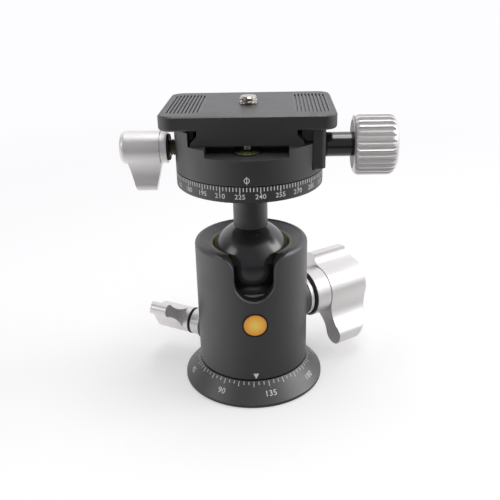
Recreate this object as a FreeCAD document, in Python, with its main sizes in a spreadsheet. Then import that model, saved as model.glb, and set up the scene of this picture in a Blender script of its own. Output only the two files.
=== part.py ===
import FreeCAD, Part
import os
import re
import Sketcher

# Tripod ball head with a panning base, a drop notch, a graduated pan ring and a screw clamp
# for dovetail plates. Z runs up the head, X along the clamp screw, Y away from the drop notch.
# Lengths are millimetres and angles are degrees. Each lock knob is drawn along its own Z,
# outward from the axis of the head, with its own X pointing up.

Vector = FreeCAD.Vector
Rotation = FreeCAD.Rotation
Placement = FreeCAD.Placement

doc = FreeCAD.newDocument("tripod_ball_head")
dims = doc.addObject("Spreadsheet::Sheet", "dims")

SIZES = [
    # clearances
    ("seam", "0.3", "gap between parts that turn on each other"),
    ("run_gap", "0.06", "radial clearance of a turning or sliding fit"),
    ("set_gap", "0.02", "radial clearance of a part fixed in another"),
    ("ball_gap", "0.1", "gap between the ball and its seats"),
    ("jaw_gap", "0.2", "sideways gap between dovetail and jaw"),
    ("pad_gap", "0.15", "gap between a nylon pad and what it presses"),
    ("deep_gap", "0.5", "room at the end of a blind hole"),
    ("overrun", "1", "how far a cut runs past the face it opens"),
    # base
    ("base_rad", "27.4", "outer radius of the base flange"),
    ("base_rim", "1.4", "height of the upright rim"),
    ("base_top", "8.2", "height where the cone meets the housing"),
    ("base_edge", "0.4", "broken edge under the rim"),
    ("cone_step", "0.1", "how far the cone's top stands past the housing"),
    ("stud_hole_rad", "4.85", "hole for a 3/8 inch tripod stud"),
    ("bush_rad", "7", "outer radius of the thread bush"),
    ("bush_top", "13", "height of the thread bush"),
    ("bush_roof", "1.5", "thickness of the closed top of the bush"),
    ("spindle_rad", "12", "radius of the pan spindle"),
    ("spindle_foot", "4", "underside of the pan spindle"),
    ("spindle_top", "20.5", "top of the pan spindle"),
    ("spindle_groove", "0.8", "depth of the groove the pan lock presses in"),
    ("retainer_rad", "14.5", "radius of the spindle retainer"),
    ("retainer_thick", "1.8", "thickness of the spindle retainer"),
    ("base_screw_rad", "1.25", "radius of a base screw"),
    ("base_head_rad", "2.2", "radius of a base screw head"),
    ("base_screw_at", "9.8", "distance of the base screws from the axis"),
    ("base_screw_grip", "5.5", "length of a base screw in the spindle"),
    ("base_head_sink", "0.2", "how far the base screw heads lie below the foot face"),
    # housing
    ("pan_rest", "4.5", "turn of the housing on the base at rest"),
    ("house_rad", "21.3", "outer radius of the housing"),
    ("house_wall", "3.9", "wall of the housing"),
    ("house_top", "59", "top of the rim"),
    ("crown_rad", "2", "rounding of the rim"),
    ("lip_floor", "53", "underside of the top lip"),
    ("liner_inset", "0.3", "how much smaller than the ball the ring around it is outside"),
    ("liner_low", "54", "underside of that ring"),
    ("liner_top", "57", "top of that ring"),
    ("liner_chamfer", "0.8", "height of its chamfer"),
    ("liner_flat", "0.4", "width of its flat top"),
    ("dish_step", "0.5", "step between the rim and the dished top"),
    ("rim_ledge", "1", "flat ledge beside the ring around the ball"),
    ("block_top", "20.2", "top of the bearing block in the housing"),
    ("notch_half", "7.15", "half width of the drop notch"),
    ("notch_z", "48.75", "centre of the round end of the notch"),
    ("flare_rad", "6.5", "rounding where the notch opens at the rim"),
    ("notch_bevel", "0.5", "broken outer edge of the notch"),
    ("badge_rad", "4.8", "radius of the badge"),
    ("badge_z", "32.1", "height of the badge"),
    ("badge_deep", "0.9", "depth of the badge recess"),
    ("bezel_wall", "0.5", "wall of the badge bezel"),
    ("bezel_proud", "0.15", "how far the bezel stands out"),
    ("badge_sink", "0.1", "how far the edge of the badge lies below the wall"),
    ("badge_crown", "0.3", "rise of the badge's crowned face"),
    # ball and stem
    ("ball_z", "49.8", "height of the ball centre"),
    ("cup_room", "0.5", "room around the ball cup in the bore"),
    ("stem_rad", "6.4", "radius of the stem"),
    ("stem_sink", "3.2", "depth of the stem's shoulder below the top of the ball"),
    ("stem_tail_rad", "4.5", "radius of the stem thread in the ball"),
    ("stem_tail_len", "7.5", "length of that thread"),
    ("stem_spigot_rad", "4", "radius of the spigot in the pan ring"),
    ("spigot_short", "1.4", "how far the spigot stays under the top of the pan ring"),
    # ball clamp
    ("cup_wall", "1.4", "wall of the ball cup"),
    ("cup_rim", "40.1", "height of the rim of the ball cup"),
    ("piston_low", "23.3", "underside of the pressure piston"),
    ("piston_top", "38.6", "top of the pressure piston"),
    ("wedge_pin_rad", "3.2", "radius of the wedge pin"),
    ("wedge_start", "3", "inner end of the wedge pin"),
    ("wedge_end", "12", "outer end of the wedge slope"),
    ("wedge_rise", "4.2", "rise of the wedge slope"),
    ("wedge_room", "1.5", "room for the wedge pin past its inner end"),
    # main lock knob
    ("main_az", "30", "direction of the main lock from the housing X axis"),
    ("main_z", "27.6", "height of the main lock"),
    ("main_boss_rad", "8.4", "radius of the boss on the housing"),
    ("main_boss_out", "1.7", "how far the boss stands out"),
    ("main_bush_wall", "2", "wall of the wedge pin's bush"),
    ("main_bush_gap", "0.2", "gap between the bush and the piston's bore"),
    ("main_flange_rad", "8.7", "radius of the flange ring"),
    ("main_flange_thick", "1.4", "thickness of the flange ring"),
    ("main_ring_rad", "9.2", "radius of the dark ring"),
    ("main_ring_thick", "1.3", "thickness of the dark ring and the gap behind it"),
    ("main_collar_rad", "9.8", "radius of the collar"),
    ("main_collar_len", "6.5", "length of the collar"),
    ("main_collar_step", "0.6", "step behind the knob"),
    ("main_hub_rad", "10", "radius of the knob hub"),
    ("main_socket", "9", "depth of the pin's socket in the knob"),
    ("main_pin_grip", "7.5", "length of the pin in the knob"),
    ("main_len", "19.8", "length of the knob"),
    ("main_neck", "3.5", "half width of the wing at its neck"),
    ("main_neck_at", "14.9", "distance of the neck from the axis"),
    ("main_tip_rad", "4.4", "radius of the wing tip"),
    ("main_wing_dir", "145.9", "direction of the long wing from straight up"),
    ("main_stub_neck", "5.2", "half width of the short wing at its neck"),
    ("main_stub_neck_at", "11", "distance of that neck from the axis"),
    ("main_stub_corner", "13.4", "distance of the corners of the short wing"),
    ("main_stub_tip", "15.6", "reach of the short wing"),
    # pan lock knob
    ("pan_az", "150", "direction of the pan lock from the housing X axis"),
    ("pan_z", "16.1", "height of the pan lock"),
    ("pan_boss_rad", "6.3", "radius of the boss on the housing"),
    ("pan_boss_out", "1.1", "how far the boss stands out"),
    ("pan_collar_rad", "5.3", "radius of the collar"),
    ("pan_collar_len", "4.4", "length of the collar"),
    ("pan_ring_thick", "1.2", "thickness of the dark ring and the gap behind it"),
    ("pan_ring_proud", "0.15", "how far the dark ring stands past the collar"),
    ("pan_pin_rad", "2.2", "radius of the pan lock pin"),
    ("pan_pad_len", "2.6", "length of the nylon pad on the pin"),
    ("pan_hub_rad", "5.3", "radius of the knob hub"),
    ("pan_hub_len", "2.6", "length of the hub inside the wing"),
    ("pan_socket", "6", "depth of the pin's socket in the knob"),
    ("pan_pin_grip", "5", "length of the pin in the knob"),
    ("pan_len", "13.2", "length of the wing"),
    ("pan_neck", "2", "half width of the wing at its neck"),
    ("pan_neck_at", "12.6", "distance of the neck from the axis"),
    ("pan_tip_rad", "2.5", "radius of the wing tip"),
    ("pan_wing_dir", "-53", "direction of the wing from straight up"),
    ("dome_rad", "36", "radius of the domed outer ends"),
    ("dome_edge", "0.8", "rounding of the edge of a domed end"),
    # graduated ring and pan joint under the clamp
    ("ring_rad", "26.4", "radius of the graduated ring and the clamp body"),
    ("ring_thick", "5.6", "thickness of the graduated ring"),
    ("post_rad", "7.5", "radius of the post on the graduated ring"),
    ("post_high", "5.4", "height of the post over the ring"),
    ("keeper_rad", "9.8", "radius of the ring retainer"),
    ("keeper_thick", "4.6", "thickness of the ring retainer"),
    ("keeper_screw_rad", "2", "radius of the retainer screw"),
    ("keeper_sink", "1.4", "depth of the retainer below the channel floor"),
    ("cap_gap", "0.4", "gap between the retainer and the cap over it"),
    # clamp
    ("floor_gap", "0.1", "gap under the dovetail"),
    ("wall_x", "19.9", "inner face of the fixed wall and of the moving jaw above the floor"),
    ("lip_out", "1.5", "how far a jaw lip leans over the dovetail"),
    ("lip_half", "12", "half length of the jaw lips"),
    ("lip_root", "0.5", "how far a lip roots in its wall"),
    ("bay_x", "21.9", "side of the clamp body that faces the moving jaw"),
    ("jaw_drop", "9.1", "reach of the moving jaw below the channel floor"),
    ("jaw_out", "26.6", "outer face of the moving jaw"),
    ("jaw_half", "13.5", "half width of the moving jaw"),
    ("jaw_corner", "1.8", "rounding of its outer corners"),
    ("recess_half", "14", "half width of the front recess"),
    ("recess_deep", "2.6", "depth of the front recess"),
    ("recess_back", "9", "distance of the back of the recess from the axis"),
    ("level_rad", "5", "radius of the level"),
    ("level_at", "15.6", "distance of the level from the axis"),
    ("level_sink", "3", "depth of the level's seat"),
    ("level_wall", "0.7", "wall of the level cup"),
    ("level_base", "0.6", "floor of the level cup"),
    ("cup_proud", "0.3", "how far the cup's rim stands over the recess"),
    ("lens_sink", "0.2", "depth of the underside of the lens"),
    ("lens_edge", "0.1", "height of the edge of the lens over the recess"),
    ("lens_crown", "0.4", "rise of the crowned lens"),
    ("bubble_rad", "1.5", "radius of the bubble"),
    ("bubble_deep", "0.5", "depth of the bubble"),
    ("guide_drop", "1.4", "depth of the guide pins below the screw"),
    ("guide_rad", "1.5", "radius of a jaw guide pin"),
    ("guide_at", "9.5", "distance of a guide pin from the screw"),
    ("guide_in", "12.5", "inner end of the guide pins"),
    ("guide_out", "24", "outer end of the guide pins"),
    # clamp knob
    ("screw_drop", "4", "depth of the clamp screw below the channel floor"),
    ("screw_rad", "2.9", "radius of the clamp screw"),
    ("screw_in", "11", "inner end of the clamp screw"),
    ("screw_room", "1.2", "room past the inner end of the screw"),
    ("sleeve_rad", "4.35", "radius of the sleeve"),
    ("sleeve_in", "27.8", "inner end of the sleeve"),
    ("knob_rad", "10.9", "radius of the clamp knob"),
    ("knob_in", "36.8", "inner end of the clamp knob"),
    ("knob_out", "52.2", "outer end of the clamp knob"),
    ("knob_nose", "2.2", "rounding of the inner end"),
    ("knob_round", "3.4", "rounding of the outer end"),
    ("knob_dish", "0.6", "depth of the dish in the outer end"),
    ("knob_cap", "6", "thickness of the outer end over the screw"),
    ("insert_rad", "8.6", "radius of the dark insert"),
    ("insert_deep", "2", "depth of the insert in the knob"),
    ("flute_half", "0.9", "half width of a flute"),
    ("flute_deep", "0.9", "depth of a flute"),
    ("flute_count", "30", "number of flutes"),
    # ring lock knob
    ("lever_drop", "4.3", "depth of the ring lock below the channel floor"),
    ("lever_pin_rad", "3", "radius of the ring lock pin"),
    ("lever_pad_len", "2", "length of the pad on the pin"),
    ("lever_washer_in", "28.4", "inner face of the dark washer"),
    ("lever_washer_rad", "4.7", "radius of that washer"),
    ("lever_collar_in", "29.1", "inner face of the collar"),
    ("lever_collar_end", "31.4", "outer face of the collar"),
    ("lever_collar_rad", "5.7", "radius of the collar"),
    ("lever_collar_step", "0.5", "step behind the lever"),
    ("lever_hub_rad", "5.9", "radius of the lever hub"),
    ("lever_face", "31.6", "inner face of the lever"),
    ("lever_socket", "7", "depth of the pin's socket in the lever"),
    ("lever_pin_grip", "6", "length of the pin in the lever"),
    ("lever_end", "46.1", "outer end of the lever"),
    ("lever_round", "2", "rounding of the outer end"),
    ("lever_neck", "2.2", "half width of the wing at its neck"),
    ("lever_neck_at", "10", "distance of the neck from the axis"),
    ("lever_tip_rad", "2.7", "radius of the wing tip"),
    ("lever_wing_dir", "180", "direction of the wing from straight up"),
    ("lever_inset", "2.5", "step from the end of the hub to the outer side of the wing"),
    ("lever_slant", "14", "angle of both sides of the wing to the square"),
    # plate
    ("plate_half_x", "30.15", "half width of the plate"),
    ("plate_half_y", "21.9", "half depth of the plate"),
    ("plate_thick", "5.2", "thickness of the plate slab"),
    ("plate_corner", "5", "corner radius of the plate"),
    ("plate_y", "4.9", "centre of the plate behind the axis"),
    ("plate_edge", "0.5", "broken top edge of the plate"),
    ("plate_under", "1", "rounding of the lower edge of the plate"),
    ("dove_deep", "4.8", "height of the dovetail under the slab"),
    ("dove_half", "19", "half width of the dovetail"),
    ("dove_foot", "1", "upright edge of the dovetail"),
    ("dove_flank", "2.3", "height of the sloping flank"),
    ("pad_at", "22.1", "distance of a grip pad from the middle"),
    ("pad_half_x", "6.3", "half width of a grip pad"),
    ("pad_half_y", "16.5", "half length of a grip pad"),
    ("pad_corner", "4", "corner radius of a grip pad"),
    ("pad_deep", "1.2", "thickness of a grip pad"),
    ("rib_deep", "0.6", "depth of the grooves in a pad"),
    ("rib_pitch", "1.3", "spacing of the grooves"),
    ("rib_width", "0.6", "width of a groove"),
    ("stud_rad", "3.175", "radius of the 1/4 inch camera stud"),
    ("stud_neck_rad", "2.6", "radius of the neck that keeps the screw in the plate"),
    ("stud_top", "110.7", "top of the camera stud, and so of the head"),
    ("stud_reach", "2.6", "reach of the stud over the plate"),
    ("stud_tip", "0.5", "broken edge at the tip of the stud"),
    ("stud_lift", "0.1", "height of the stud's shoulder above the plate"),
    ("sink_deep", "0.5", "depth of the counterbore round the stud"),
    ("head_rad", "6.2", "radius of the camera screw head"),
    ("head_set", "0.4", "depth of that head in the dovetail"),
    ("head_thick", "2.5", "thickness of that head"),
    ("head_room", "0.1", "gap over the head of the camera screw"),
    ("slot_width", "1.4", "width of the coin slot"),
    ("slot_deep", "1.1", "depth of the coin slot"),
]
# Sizes that follow: the bore and ball from the housing's outside, each lock outward from the
# housing's wall, and each height of the upper stack from the piece above it.
FOLLOWING = [
    ("cone_rad", "house_rad + cone_step", "radius at the top of the cone"),
    ("house_bore", "house_rad - house_wall", "radius of the housing bore"),
    ("badge_seat", "house_rad - badge_deep", "distance of the badge recess from the axis"),
    ("ball_rad", "house_bore - cup_room - cup_wall - ball_gap", "radius of the ball"),
    ("liner_rad", "ball_rad - liner_inset", "outer radius of the ring around the ball"),
    ("stem_foot", "ball_z + ball_rad - stem_sink", "shoulder of the stem in the ball"),
    ("stem_tail", "stem_foot - stem_tail_len", "lower end of the stem thread"),
    ("main_boss_end", "house_rad + main_boss_out", "outer face of the main lock's boss"),
    ("main_flange_end", "main_boss_end + main_flange_thick", "outer face of the flange ring"),
    ("main_ring_end", "main_flange_end + main_ring_thick", "outer face of the dark ring"),
    ("main_collar_end", "main_ring_end + main_collar_len", "outer face of the collar"),
    ("main_face", "main_collar_end + seam", "inner face of the main knob"),
    ("main_end", "main_face + main_len", "outer end of the main knob"),
    ("pan_boss_end", "house_rad + pan_boss_out", "outer face of the pan lock's boss"),
    ("pan_collar_end", "pan_boss_end + pan_collar_len", "outer face of the collar"),
    ("pan_ring_end", "pan_collar_end + pan_ring_thick", "outer face of the dark ring"),
    ("pan_face", "pan_ring_end + pan_hub_len", "inner face of the pan knob's wing"),
    ("pan_end", "pan_face + pan_len", "outer end of the pan knob"),
    ("plate_low", "stud_top - stud_reach - plate_thick", "underside of the plate slab"),
    ("dove_low", "plate_low - dove_deep", "underside of the dovetail"),
    ("head_low", "dove_low + head_set", "underside of the camera screw's head"),
    ("head_top", "head_low + head_thick", "top of that head"),
    ("jaw_top", "plate_low - seam", "top of the jaws"),
    ("floor_z", "dove_low - floor_gap", "floor of the dovetail channel"),
    ("jaw_low", "floor_z - jaw_drop", "underside of the moving jaw"),
    ("recess_floor", "floor_z - recess_deep", "floor of the front recess"),
    ("level_low", "recess_floor - level_sink", "underside of the level"),
    ("screw_z", "floor_z - screw_drop", "height of the clamp screw"),
    ("guide_z", "screw_z - guide_drop", "height of the guide pins"),
    ("lever_z", "floor_z - lever_drop", "height of the ring lock"),
    ("keeper_top", "floor_z - keeper_sink", "top of the ring retainer"),
    ("post_top", "keeper_top - keeper_thick", "top of the post on the graduated ring"),
    ("ring_top", "post_top - post_high", "top of the graduated ring"),
    ("ring_low", "ring_top - ring_thick", "underside of the graduated ring"),
    ("stem_spigot_top", "ring_top - spigot_short", "top of the spigot in the pan ring"),
]
NAMES = {alias for alias, _, _ in SIZES + FOLLOWING}
SAME = 0.01  # two heights closer than this are the same


def add_size(row, alias, text, note):
    """Put one named size on its own line of the sheet."""
    dims.set("A%d" % row, alias)
    dims.set("B%d" % row, text)
    dims.setAlias("B%d" % row, alias)
    dims.set("C%d" % row, note)


def add_wing_sizes(row, knob):
    """Add the sizes of the hollow arcs that blend a hub into a wing neck and its round tip."""
    hub, neck, at, tip = (knob + "_" + word for word in ("hub_rad", "neck", "neck_at", "tip_rad"))
    off = "(%s^2 - (%s - %s)^2) / (2 * (%s - %s))" % (at, hub, neck, hub, neck)
    add_size(row, knob + "_arc_off", "=" + off, "offset of the neck arc centre")
    add_size(row + 1, knob + "_arc_rad", "=%s_arc_off - %s" % (knob, neck), "radius of the neck arc")
    reach = "=%s + sqrt((%s_arc_rad + %s)^2 - %s_arc_off^2)" % (at, knob, tip, knob)
    add_size(row + 2, knob + "_tip_at", reach, "distance of the tip centre")
    NAMES.update((knob + "_arc_off", knob + "_arc_rad", knob + "_tip_at"))


for line, (size_alias, size_text, size_note) in enumerate(SIZES, 1):
    add_size(line, size_alias, size_text, size_note)
for line, (size_alias, size_text, size_note) in enumerate(FOLLOWING, len(SIZES) + 1):
    add_size(line, size_alias, "=" + size_text, size_note)
for step, knob_name in enumerate(("main", "pan", "lever")):
    add_wing_sizes(len(SIZES) + len(FOLLOWING) + 1 + 3 * step, knob_name)
doc.recompute()


def bind(text):
    """Expression text with every size name pointed at the sheet."""
    return re.sub(r"[a-z]\w*", lambda m: "dims." + m.group(0) if m.group(0) in NAMES else m.group(0), text)


def now(text):
    """Present value of an expression over the named sizes."""
    return float(dims.evalExpression(bind(text)))


def new_body(name):
    body = doc.addObject("PartDesign::Body", name)
    body.Label = name
    return body


def stand(body, x="0", y="0", z="0", turn="0"):
    """Place an upright body, turned about Z."""
    where = "create(<<vector>>; %s; %s; %s)" % (x, y, z)
    way = "create(<<rotation>>; %s; 0; 0)" % turn
    body.setExpression("Placement", bind("create(<<placement>>; %s; %s)" % (where, way)))


def point_out(body, azimuth, z, y="0"):
    """Place a body drawn along its own Z so that it points outward, level, at an azimuth."""
    where = "create(<<vector>>; 0; %s; %s)" % (y, z)
    way = "create(<<rotation>>; %s; -90; 180)" % azimuth
    body.setExpression("Placement", bind("create(<<placement>>; %s; %s)" % (where, way)))


def new_sketch(body, name, plane="XY_Plane", lift="0", spin="0"):
    """Sketch on an origin plane of the body, lifted along the normal and spun in its own plane."""
    sketch = body.newObject("Sketcher::SketchObject", name)
    origin = [item for item in body.Origin.OriginFeatures if item.Role == plane][0]
    sketch.AttachmentSupport = [(origin, "")]
    sketch.MapMode = "FlatFace"
    sketch.AttachmentOffset = Placement(Vector(0, 0, now(lift)), Rotation(Vector(0, 0, 1), now(spin)))
    if lift != "0":
        sketch.setExpression("AttachmentOffset.Base.z", bind(lift))
    if spin != "0":
        sketch.setExpression("AttachmentOffset.Rotation.Angle", bind(spin))
    return sketch


def hold(sketch, kind, geo, pos, text):
    """Fix a distance or radius of a sketch element to an expression."""
    if kind == "Radius":
        index = sketch.addConstraint(Sketcher.Constraint("Radius", geo, now(text)))
    elif text == "0":
        axis = -2 if kind == "DistanceX" else -1
        sketch.addConstraint(Sketcher.Constraint("PointOnObject", geo, pos, axis))
        return
    else:
        index = sketch.addConstraint(Sketcher.Constraint(kind, -1, 1, geo, pos, now(text)))
    label = "c%d" % index
    sketch.renameConstraint(index, label)
    sketch.setExpression("Constraints." + label, bind(text))


def arc_between(start, end, radius, side):
    """Arc shorter than half a turn. It runs counter-clockwise when side is 1."""
    chord = end - start
    middle = (start + end) * 0.5
    rise = max(radius ** 2 - chord.Length ** 2 / 4, 0) ** 0.5
    normal = Vector(-chord.y, chord.x, 0).normalize()
    centre = middle + normal * (rise * side)
    first, last = (start, end) if side > 0 else (end, start)
    turn = Vector(1, 0, 0)
    angles = [turn.getAngle(p - centre) * (1 if p.y >= centre.y else -1) for p in (first, last)]
    return Part.ArcOfCircle(Part.Circle(centre, Vector(0, 0, 1), radius), *angles)


def outline(sketch, points):
    """Closed outline. A point is (x, y) after a line, or (x, y, radius, side) after an arc."""
    base = sketch.GeometryCount
    spots = [Vector(now(p[0]), now(p[1]), 0) for p in points]
    ends = []
    for index, point in enumerate(points):
        start, end = spots[index - 1], spots[index]
        if len(point) == 2:
            sketch.addGeometry(Part.LineSegment(start, end))
            ends.append((1, 2))
        else:
            sketch.addGeometry(arc_between(start, end, now(point[2]), point[3]))
            ends.append((1, 2) if point[3] > 0 else (2, 1))
    for index, point in enumerate(points):
        before = (index - 1) % len(points)
        sketch.addConstraint(
            Sketcher.Constraint("Coincident", base + before, ends[before][1], base + index, ends[index][0]))
        hold(sketch, "DistanceX", base + index, ends[index][1], point[0])
        hold(sketch, "DistanceY", base + index, ends[index][1], point[1])
        if len(point) == 4:
            hold(sketch, "Radius", base + index, 0, point[2])


def circle(sketch, x, y, radius):
    geo = sketch.addGeometry(Part.Circle(Vector(now(x), now(y), 0), Vector(0, 0, 1), now(radius)))
    hold(sketch, "DistanceX", geo, 3, x)
    hold(sketch, "DistanceY", geo, 3, y)
    hold(sketch, "Radius", geo, 0, radius)


def box_outline(sketch, left, right, low, high):
    outline(sketch, [(left, low), (right, low), (right, high), (left, high)])


def swept(body, kind, sketch, length, midplane=False, reverse=False):
    """Pad or pocket a sketch by a length."""
    feature = body.newObject("PartDesign::" + kind, sketch.Name + "_" + kind.lower())
    feature.Profile = sketch
    feature.Length = now(length)
    feature.setExpression("Length", bind(length))
    feature.Midplane = midplane
    feature.Reversed = reverse
    sketch.Visibility = False
    return feature


def revolved(body, kind, sketch):
    """Revolve or groove a sketch a full turn about its upright axis."""
    feature = body.newObject("PartDesign::" + kind, sketch.Name + "_" + kind.lower())
    feature.Profile = sketch
    feature.ReferenceAxis = (sketch, ["V_Axis"])
    feature.Angle = 360
    sketch.Visibility = False
    return feature


def turned(name, points):
    """Body of revolution about its own Z from an outline of (radius, height) points."""
    body = new_body(name)
    sketch = new_sketch(body, name + "_profile", "XZ_Plane")
    outline(sketch, points)
    revolved(body, "Revolution", sketch)
    return body


def ring_points(inner, outer, low, high):
    return [(inner, low), (outer, low), (outer, high), (inner, high)]


def sphere_edge(radius, height):
    """Radius of a sphere about the ball centre where it passes a height."""
    return "sqrt((%s)^2 - (%s - ball_z)^2)" % (radius, height)


def polar(body, feature, sketch, count):
    pattern = body.newObject("PartDesign::PolarPattern", feature.Name + "_round")
    pattern.Originals = [feature]
    pattern.Axis = (sketch, ["N_Axis"])
    pattern.Angle = 360
    pattern.Occurrences = int(now(count))
    pattern.setExpression("Occurrences", bind(count))
    body.Tip = pattern
    return pattern


def end_edges(feature, low, high):
    """Names of the edges of a feature that lie wholly between two heights along its own Z."""
    doc.recompute()
    boxes = [edge.BoundBox for edge in feature.Shape.Edges]
    floor, roof = now(low) - SAME, now(high) + SAME
    return ["Edge%d" % n for n, box in enumerate(boxes, 1) if box.ZMin > floor and box.ZMax < roof]


def eased(body, kind, feature, low, high, size):
    """Round (Fillet) or break (Chamfer) the edges of a feature between two heights."""
    edge = body.newObject("PartDesign::" + kind, feature.Name + "_" + kind.lower())
    edge.Base = (feature, end_edges(feature, low, high))
    amount = "Radius" if kind == "Fillet" else "Size"
    setattr(edge, amount, now(size))
    edge.setExpression(amount, bind(size))
    return edge


# ---------------------------------------------------------------- base

def make_base_plate():
    body = turned("base_plate", [
        ("bush_rad + set_gap", "0"), ("base_rad - base_edge", "0"), ("base_rad", "base_edge"),
        ("base_rad", "base_rim"), ("cone_rad", "base_top"), ("spindle_rad + set_gap", "base_top"),
        ("spindle_rad + set_gap", "spindle_foot"), ("bush_rad + set_gap", "spindle_foot")])
    holes = new_sketch(body, "base_screw_holes")
    circle(holes, "base_screw_at", "0", "base_screw_rad + set_gap")
    cut = swept(body, "Pocket", holes, "spindle_foot", reverse=True)
    polar(body, cut, holes, "3")
    sinks = new_sketch(body, "base_screw_sinks")
    circle(sinks, "base_screw_at", "0", "base_head_rad + set_gap")
    sink = swept(body, "Pocket", sinks, "base_screw_rad", reverse=True)
    polar(body, sink, sinks, "3")


def make_thread_bush():
    turned("base_thread_bush", [
        ("stud_hole_rad", "0"), ("bush_rad", "0"), ("bush_rad", "bush_top"), ("0", "bush_top"),
        ("0", "bush_top - bush_roof"), ("stud_hole_rad", "bush_top - bush_roof")])


def make_spindle():
    body = turned("pan_spindle", [
        ("bush_rad + set_gap", "spindle_foot"), ("spindle_rad", "spindle_foot"),
        ("spindle_rad", "pan_z - pan_pin_rad - spindle_groove"),
        ("spindle_rad - spindle_groove", "pan_z - pan_pin_rad"),
        ("spindle_rad - spindle_groove", "pan_z + pan_pin_rad"),
        ("spindle_rad", "pan_z + pan_pin_rad + spindle_groove"),
        ("spindle_rad", "spindle_top"), ("stem_spigot_rad", "spindle_top"),
        ("stem_spigot_rad", "bush_top"), ("bush_rad + set_gap", "bush_top")])
    holes = new_sketch(body, "spindle_screw_holes", lift="spindle_foot")
    circle(holes, "base_screw_at", "0", "base_screw_rad + set_gap")
    cut = swept(body, "Pocket", holes, "base_screw_grip + deep_gap", reverse=True)
    polar(body, cut, holes, "3")


def make_base_screw(number):
    body = turned("base_screw_%d" % number, [
        ("0", "base_head_sink"), ("base_head_rad", "base_head_sink"), ("base_head_rad", "base_screw_rad"),
        ("base_screw_rad", "base_screw_rad"), ("base_screw_rad", "spindle_foot + base_screw_grip"),
        ("0", "spindle_foot + base_screw_grip")])
    angle = "%d" % (120 * (number - 1))
    stand(body, "base_screw_at * cos(%s)" % angle, "base_screw_at * sin(%s)" % angle)


def make_spindle_retainer():
    turned("spindle_retainer", ring_points(
        "stem_spigot_rad", "retainer_rad", "spindle_top", "spindle_top + retainer_thick"))


def make_spindle_screw():
    turned("spindle_screw", [
        ("0", "bush_top + deep_gap"), ("stem_spigot_rad - set_gap", "bush_top + deep_gap"),
        ("stem_spigot_rad - set_gap", "spindle_top + retainer_thick"),
        ("0", "spindle_top + retainer_thick")])


# ---------------------------------------------------------------- housing

def radial_sketch(body, name, azimuth, distance):
    """Sketch square to a level line from the axis: x runs around the head and y is height."""
    sketch = new_sketch(body, name, "YZ_Plane")
    spots = {"x": "(%s) * sin(%s)" % (distance, azimuth), "z": "(%s) * cos(%s)" % (distance, azimuth)}
    spin = Rotation(Vector(0, 1, 0), now(azimuth))
    sketch.AttachmentOffset = Placement(Vector(now(spots["x"]), 0, now(spots["z"])), spin)
    for side, text in spots.items():
        sketch.setExpression("AttachmentOffset.Base." + side, bind(text))
    sketch.setExpression("AttachmentOffset.Rotation.Angle", bind(azimuth))
    return sketch


def bevel_notch(body, cut):
    """Break the outer edge of the drop notch, below the rounded rim."""
    doc.recompute()
    wide, wall = now("notch_half + flare_rad") + SAME, now("house_rad") - SAME
    low, high = now("notch_z - notch_half") - 1, now("house_top - crown_rad") + SAME
    names = []
    for number, edge in enumerate(cut.Shape.Edges, 1):
        box = edge.BoundBox
        inside = box.YMax < 0 and max(-box.XMin, box.XMax) < wide and box.ZMin > low and box.ZMax < high
        if inside and all((v.X ** 2 + v.Y ** 2) ** 0.5 > wall for v in edge.Vertexes):
            names.append("Edge%d" % number)
    bevel = body.newObject("PartDesign::Chamfer", "notch_bevel")
    bevel.Base = (cut, names)
    bevel.Size = now("notch_bevel")
    bevel.setExpression("Size", bind("notch_bevel"))


def make_housing():
    body = turned("housing", [
        ("house_bore", "base_top + seam"), ("house_rad - base_edge", "base_top + seam"),
        ("house_rad", "base_top + seam + base_edge"), ("house_rad", "house_top - crown_rad"),
        ("house_rad - crown_rad", "house_top", "crown_rad", 1),
        ("house_rad - crown_rad - dish_step", "house_top - dish_step"),
        ("liner_rad + rim_ledge", "liner_top"), ("liner_rad + set_gap", "liner_top"),
        ("liner_rad + set_gap", "lip_floor"), ("house_bore", "lip_floor")])
    for lock in ("main", "pan"):
        boss = radial_sketch(body, lock + "_boss", lock + "_az", "0")
        circle(boss, "0", lock + "_z", lock + "_boss_rad")
        swept(body, "Pad", boss, lock + "_boss_end")
    bore = new_sketch(body, "bore_clear")
    circle(bore, "0", "0", "house_bore")
    swept(body, "Pocket", bore, "lip_floor", reverse=True)
    notch = new_sketch(body, "drop_notch", "XZ_Plane")
    outline(notch, [
        ("-notch_half", "notch_z"), ("0", "notch_z - notch_half", "notch_half", 1),
        ("notch_half", "notch_z", "notch_half", 1), ("notch_half", "house_top - flare_rad"),
        ("notch_half + flare_rad", "house_top", "flare_rad", -1),
        ("notch_half + flare_rad", "house_top + 2"), ("-notch_half - flare_rad", "house_top + 2"),
        ("-notch_half - flare_rad", "house_top"),
        ("-notch_half", "house_top - flare_rad", "flare_rad", -1)])
    cut = swept(body, "Pocket", notch, "house_rad + 2", reverse=True)
    bevel_notch(body, cut)
    for lock, hole in (("main", "wedge_pin_rad + main_bush_wall"), ("pan", "pan_pin_rad + run_gap")):
        drill = radial_sketch(body, lock + "_hole", lock + "_az", "0")
        circle(drill, "0", lock + "_z", hole)
        swept(body, "Pocket", drill, lock + "_boss_end + 1", reverse=True)
    seat = radial_sketch(body, "badge_recess", "-90", "badge_seat")
    circle(seat, "0", "badge_z", "badge_rad + set_gap")
    swept(body, "Pocket", seat, "5", reverse=True)
    stand(body, turn="pan_rest")


def make_housing_block():
    body = turned("housing_block", ring_points(
        "spindle_rad + run_gap", "house_bore - set_gap", "base_top + seam", "block_top"))
    drill = radial_sketch(body, "block_hole", "pan_az", "0")
    circle(drill, "0", "pan_z", "pan_pin_rad + run_gap")
    swept(body, "Pocket", drill, "house_bore + 1", reverse=True)
    stand(body, turn="pan_rest")


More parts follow.
